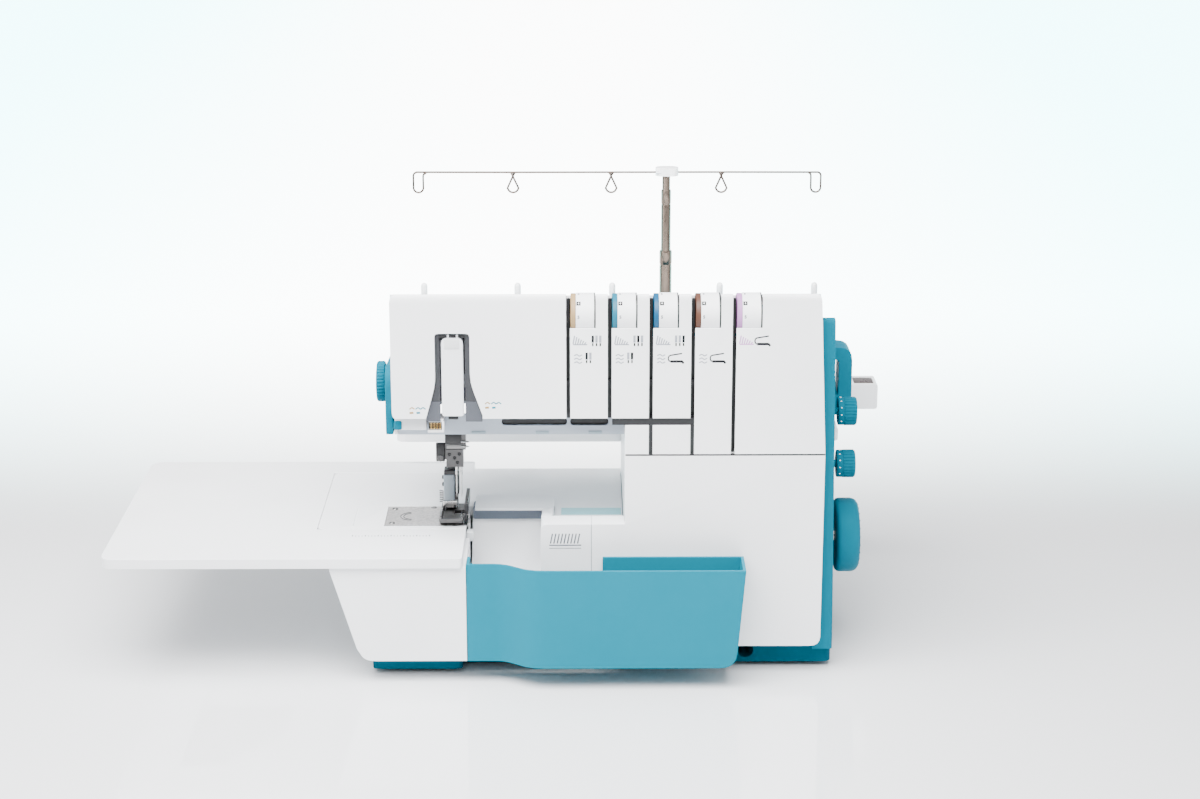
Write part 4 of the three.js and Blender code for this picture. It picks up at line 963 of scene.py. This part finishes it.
def needle_points(x, z, places):
    """The thin points under the shanks."""
    return [(x + NEEDLE_PITCH * i, z + 0.2, x + NEEDLE_PITCH * i, z + 2.6, 0.55) for i in places]


def needle_row(name, x, z, count, chosen):
    """A row of needles with the chosen one in black."""
    others = [i for i in range(count) if i != chosen]
    print_marks(name + "_others", needle_shanks(x, z, others), INK_PALE)
    print_marks(name, needle_shanks(x, z, [chosen]) + needle_points(x, z, range(count)), INK_BLACK)


def wave_rows(x, z):
    """Three short wavy rows, for the chain stitch."""
    wave = ((0, 0), (2, 1), (4, -0.4), (6, 0.7))
    rows = []
    for i in range(3):
        points = [(x + u, z + 2.8 * i + v) for u, v in wave]
        rows += [(*a, *b, 0.42) for a, b in zip(points, points[1:])]
    return rows


def looper_sign(x, z):
    """A bent looper seen from the front."""
    angles = [math.radians(90 + 30 * k) for k in range(7)]
    arc = [(x + 1.7 * math.cos(a), z + 3 + 2.4 * math.sin(a)) for a in angles]
    bars = [(*a, *b, 0.5) for a, b in zip(arc, arc[1:])]
    bars += [(x, z + 0.6, x + 8.6, z + 0.6, 0.95), (x, z + 5.4, x + 8.6, z + 6.8, 0.5)]
    return bars + [(x + 8.4, z + 1, x + 9.8, z - 1, 0.8)]


def needle_code(name, x, z):
    """Little roofs and dots that tell the needle threads apart."""
    def roof(left):
        return [(left, z + 3, left + 1.9, z + 4.4, 0.42), (left + 1.9, z + 4.4, left + 3.8, z + 3, 0.42)]
    print_marks(f"needle_code_a_{name}", roof(x) + [(x, z, x + 3, z + 0.2, 0.75)], INK_BEIGE)
    dots = [(x + 5.2, z, x + 8, z + 0.2, 0.75)]
    print_marks(f"needle_code_b_{name}", roof(x + 4.6) + roof(x + 8.4) + dots, INK_AQUA)


def make_prints():
    """Generic signs of needles, loopers and stitches on the panels, the head and the chute cover."""
    for number in range(1, 4):
        x = CHANNELS[number - 1]
        print_marks(f"stitch_print_{number}", stitch_block(x + 2.3, STITCH_Z), INK_PALE)
        needle_row(f"needle_print_{number}", x + 17, NEEDLE_Z, 3, number - 1)
        print_marks(f"wave_print_{number}", wave_rows(x + 3, LOW_STITCH_Z), INK_PALE)
    needle_row("needle_print_a", CHANNELS[0] + 12.4, LOW_NEEDLE_Z, 2, 0)
    needle_row("needle_print_b", CHANNELS[1] + 12.4, LOW_NEEDLE_Z, 2, 1)
    print_marks("looper_print_a", looper_sign(CHANNELS[2] + 13, LOW_LOOPER_Z), INK_BLACK)
    print_marks("wave_print_4", wave_rows(CHANNELS[3] + 3, LOW_STITCH_Z), INK_PALE)
    print_marks("looper_print_b", looper_sign(CHANNELS[3] + 13, LOW_LOOPER_Z), INK_BLACK)
    print_marks("stitch_print_5", stitch_block(CHANNELS[4] + 2.3, STITCH_Z), INK_LILAC)
    print_marks("looper_print_c", looper_sign(CHANNELS[4] + 15.4, LOOPER_Z), INK_BLACK)
    needle_code("left", -122.6, 212.2)
    needle_code("right", -65.6, 216.2)
    bars = [(-17 + 2.6 * i, 107.4, -15.4 + 2.6 * i, 115.4, 0.5) for i in range(9)]
    bars += [(-18, 106, 6.6, 106, 0.45), (-18, 103.6, 6.6, 103.6, 0.25)]
    print_marks("chute_print", bars, INK_GREY)


def make_seams():
    """Dark shadow gaps: above the looper cover, beside the chute cover and under the arm."""
    flush = (-0.03, 2)
    block("cover_seam", (COVER_LEFT, COVER_RIGHT), flush, (SEAM - 0.5, SEAM + 0.8), BLACK, bevel=0)
    block("chute_seam", (14.2, 14.7), flush, (24, 122.4), INK_PALE, bevel=0)
    block("arm_seam", (30.2, CHANNELS[3] - 0.2), (0.9, 8), (LOW_PANEL_TOP + 0.2, 207.4), BLACK, bevel=0)


def make_chute_lip():
    """The white lip of the bed over the waste chute, its rising right end and a dark plate under it,
    painted shade in the chute's mouth.
    """
    left, front, back, right, turn = -78.4, 80, 115, -15.2, 9.2
    angles = [math.radians(90 - 15 * k) for k in range(7)]
    corner = [(right - turn * (1 - math.sin(a)), back - turn * (1 - math.cos(a))) for a in angles]
    lip = [(left, front), (right, front)] + corner + [(left, back)]
    soft_plate("chute_lip", lip, "z", 106.2, 1.8, WHITE, 0.7)
    rise = [(20.6, 103.6), (20.6, 122.4), (60, 112), (82, 107.6), (84, 106.4), (84, 103.6)]
    soft_plate("chute_rise", rise, "x", -24.3, 9, WHITE, 1.2)
    # A dark plate under the lip: painted shade in the mouth of the chute.
    soft_plate("chute_mouth_painted_shade", rounded(-80.4, -25.2, 93.6, 105.8, 2.4), "y", 94, 12, CHUTE_SHADE, 0.3)


def make_bed_trim():
    """The pale strip on the pocket's floor, and the little thread cutter by the foot."""
    block("pocket_strip", (-9.5, 38.6), (79, 95), (BED - 0.4, BED + 0.5), PALE_AQUA, bevel=0.4)
    block("cutter_block", (-83.6, -77.8), (48, 56), (92, 99.6), GREY_LIGHT, bevel=1.0, segments=3)


def make_lever_trim():
    """The dark sight on top of the threading lever."""
    height = (LEVER_TOP - 1.5, LEVER_TOP - 0.25)
    block("lever_sight", (238.4, 254.6), (220.4, 238.6), height, SIGHT, "air_lever", 0.4)


def make_back_trim():
    """Vents, screws and the inlet's pins."""
    for row in range(7):
        low = 52 + 7 * row
        block(f"back_vent_{row + 1}", (70, 130), (205.0, 205.7), (low, low + 3), BLACK, bevel=0.6)
    on_housing = [(x, 205.4, z) for x, z in ((60, 26), (188, 26), (60, 112))]
    on_arm = [(x, 150, 236) for x in (20, -120)]
    screws("back_screws", on_housing + on_arm + [(188, 205.4, 236)], "y", 3.2, STEEL_DARK)
    bm = bmesh.new()
    for y, z in ((157.4, 42), (157.4, 48), (164.6, 42), (164.6, 48)):
        add_turned(bm, [(0, 0), (0.9, 0), (0.9, 4), (0.5, 4.8), (0, 4.8)], at(195.6, y, z), "x", sides=16)
    put("inlet_pins", bm, STEEL)
    bm = bmesh.new()
    angles = [math.radians(30 * k) for k in range(12)]
    ring = [at(205.4, 180 + 2.2 * math.cos(a), 39 + 2.2 * math.sin(a)) for a in angles]
    add_tube(bm, ring, 0.25, 6, closed=True)
    add_tube(bm, [at(205.4, 180, 49), at(205.4, 180, 54)], 0.25, 6)
    put("rocker_marks", bm, WHITE, "switch_rocker")


def make_details():
    make_controls()
    make_mast()
    make_guide()
    make_spool_seats()
    make_take_up_trim()
    make_low_channels()
    make_head_foot()
    make_arm_trim()
    make_needle_trim()
    make_presser_trim()
    make_plate_trim()
    make_prints()
    make_seams()
    make_chute_lip()
    make_bed_trim()
    make_lever_trim()
    make_back_trim()


# ---------------- studio
def make_floor():
    """One wide glossy floor; well behind the machine it glows, like a lit backdrop."""
    bm = bmesh.new()
    corners = ((-1, -1), (1, -1), (1, 1), (-1, 1))
    bm.faces.new([bm.verts.new((x * FLOOR_REACH, y * FLOOR_REACH, 0)) for x, y in corners])
    mesh = bpy.data.meshes.new("studio_floor")
    bm.to_mesh(mesh)
    bm.free()
    mesh.materials.append(floor_finish())
    floor = bpy.data.objects.new("studio_floor", mesh)
    bpy.context.scene.collection.objects.link(floor)


def floor_finish():
    """Pale and glossy near the machine, matt and faintly blue-green where it glows."""
    finish = Finish("studio_paper", FLOOR_GLOSS)
    finish.shader.inputs["IOR"].default_value = 1.65
    parts = finish.node("ShaderNodeSeparateXYZ")
    finish.join(finish.place, parts.inputs["Vector"])
    side = finish.node("ShaderNodeMath", operation="ABSOLUTE")
    finish.join(parts.outputs["X"], side.inputs[0])
    sides = finish.step(side.outputs["Value"], 0.1, 1.1)
    glow = finish.blend(sides, GLOW_MIDDLE, GLOW_SIDES)
    start = at(0, 300, 0).y  # behind the spool tray
    far = finish.step(parts.outputs["Y"], start, start + 0.5)
    speckle = finish.ramp(finish.noise(240, 3), tone(FLOOR, 0.99), tone(FLOOR, 1.0))
    finish.paint(finish.blend(far, speckle, glow))
    gloss = finish.step(parts.outputs["Y"], start, start + 0.4, FLOOR_GLOSS, 0.9)
    finish.join(gloss, finish.shader.inputs["Roughness"])
    finish.join(glow, finish.shader.inputs["Emission Color"])
    shine = finish.step(parts.outputs["Y"], start, start + 0.9, 0, GLOW)
    finish.join(shine, finish.shader.inputs["Emission Strength"])
    return finish.material


def make_light(name, place, size, power):
    """A soft rectangular light that points at the machine."""
    data = bpy.data.lights.new(name, "AREA")
    data.shape = "RECTANGLE"
    data.size, data.size_y = size
    data.energy = power
    lamp = bpy.data.objects.new(name, data)
    lamp.location = place
    lamp.rotation_mode = "QUATERNION"
    lamp.rotation_quaternion = (Vector(LIGHT_AIM) - Vector(place)).to_track_quat("-Z", "Y")
    bpy.context.scene.collection.objects.link(lamp)


def make_studio():
    make_floor()
    for name, place, size, power in LIGHTS:
        make_light(name, place, size, power)
    world = bpy.data.worlds.new("studio_air")
    world.use_nodes = True
    background = world.node_tree.nodes["Background"]
    background.inputs["Color"].default_value = AIR_COLOUR
    background.inputs["Strength"].default_value = AIR_STRENGTH
    bpy.context.scene.world = world


def make_camera():
    data = bpy.data.cameras.new("camera")
    data.lens = CAMERA_LENS
    data.sensor_width = 36
    data.clip_start = 0.05
    data.clip_end = 20
    camera = bpy.data.objects.new("camera", data)
    camera.location = CAMERA_PLACE
    camera.rotation_mode = "QUATERNION"
    camera.rotation_quaternion = Vector(CAMERA_HEADING).to_track_quat("-Z", "Y")
    bpy.context.scene.collection.objects.link(camera)
    bpy.context.scene.camera = camera


dress_all()
make_details()
make_studio()
make_camera()
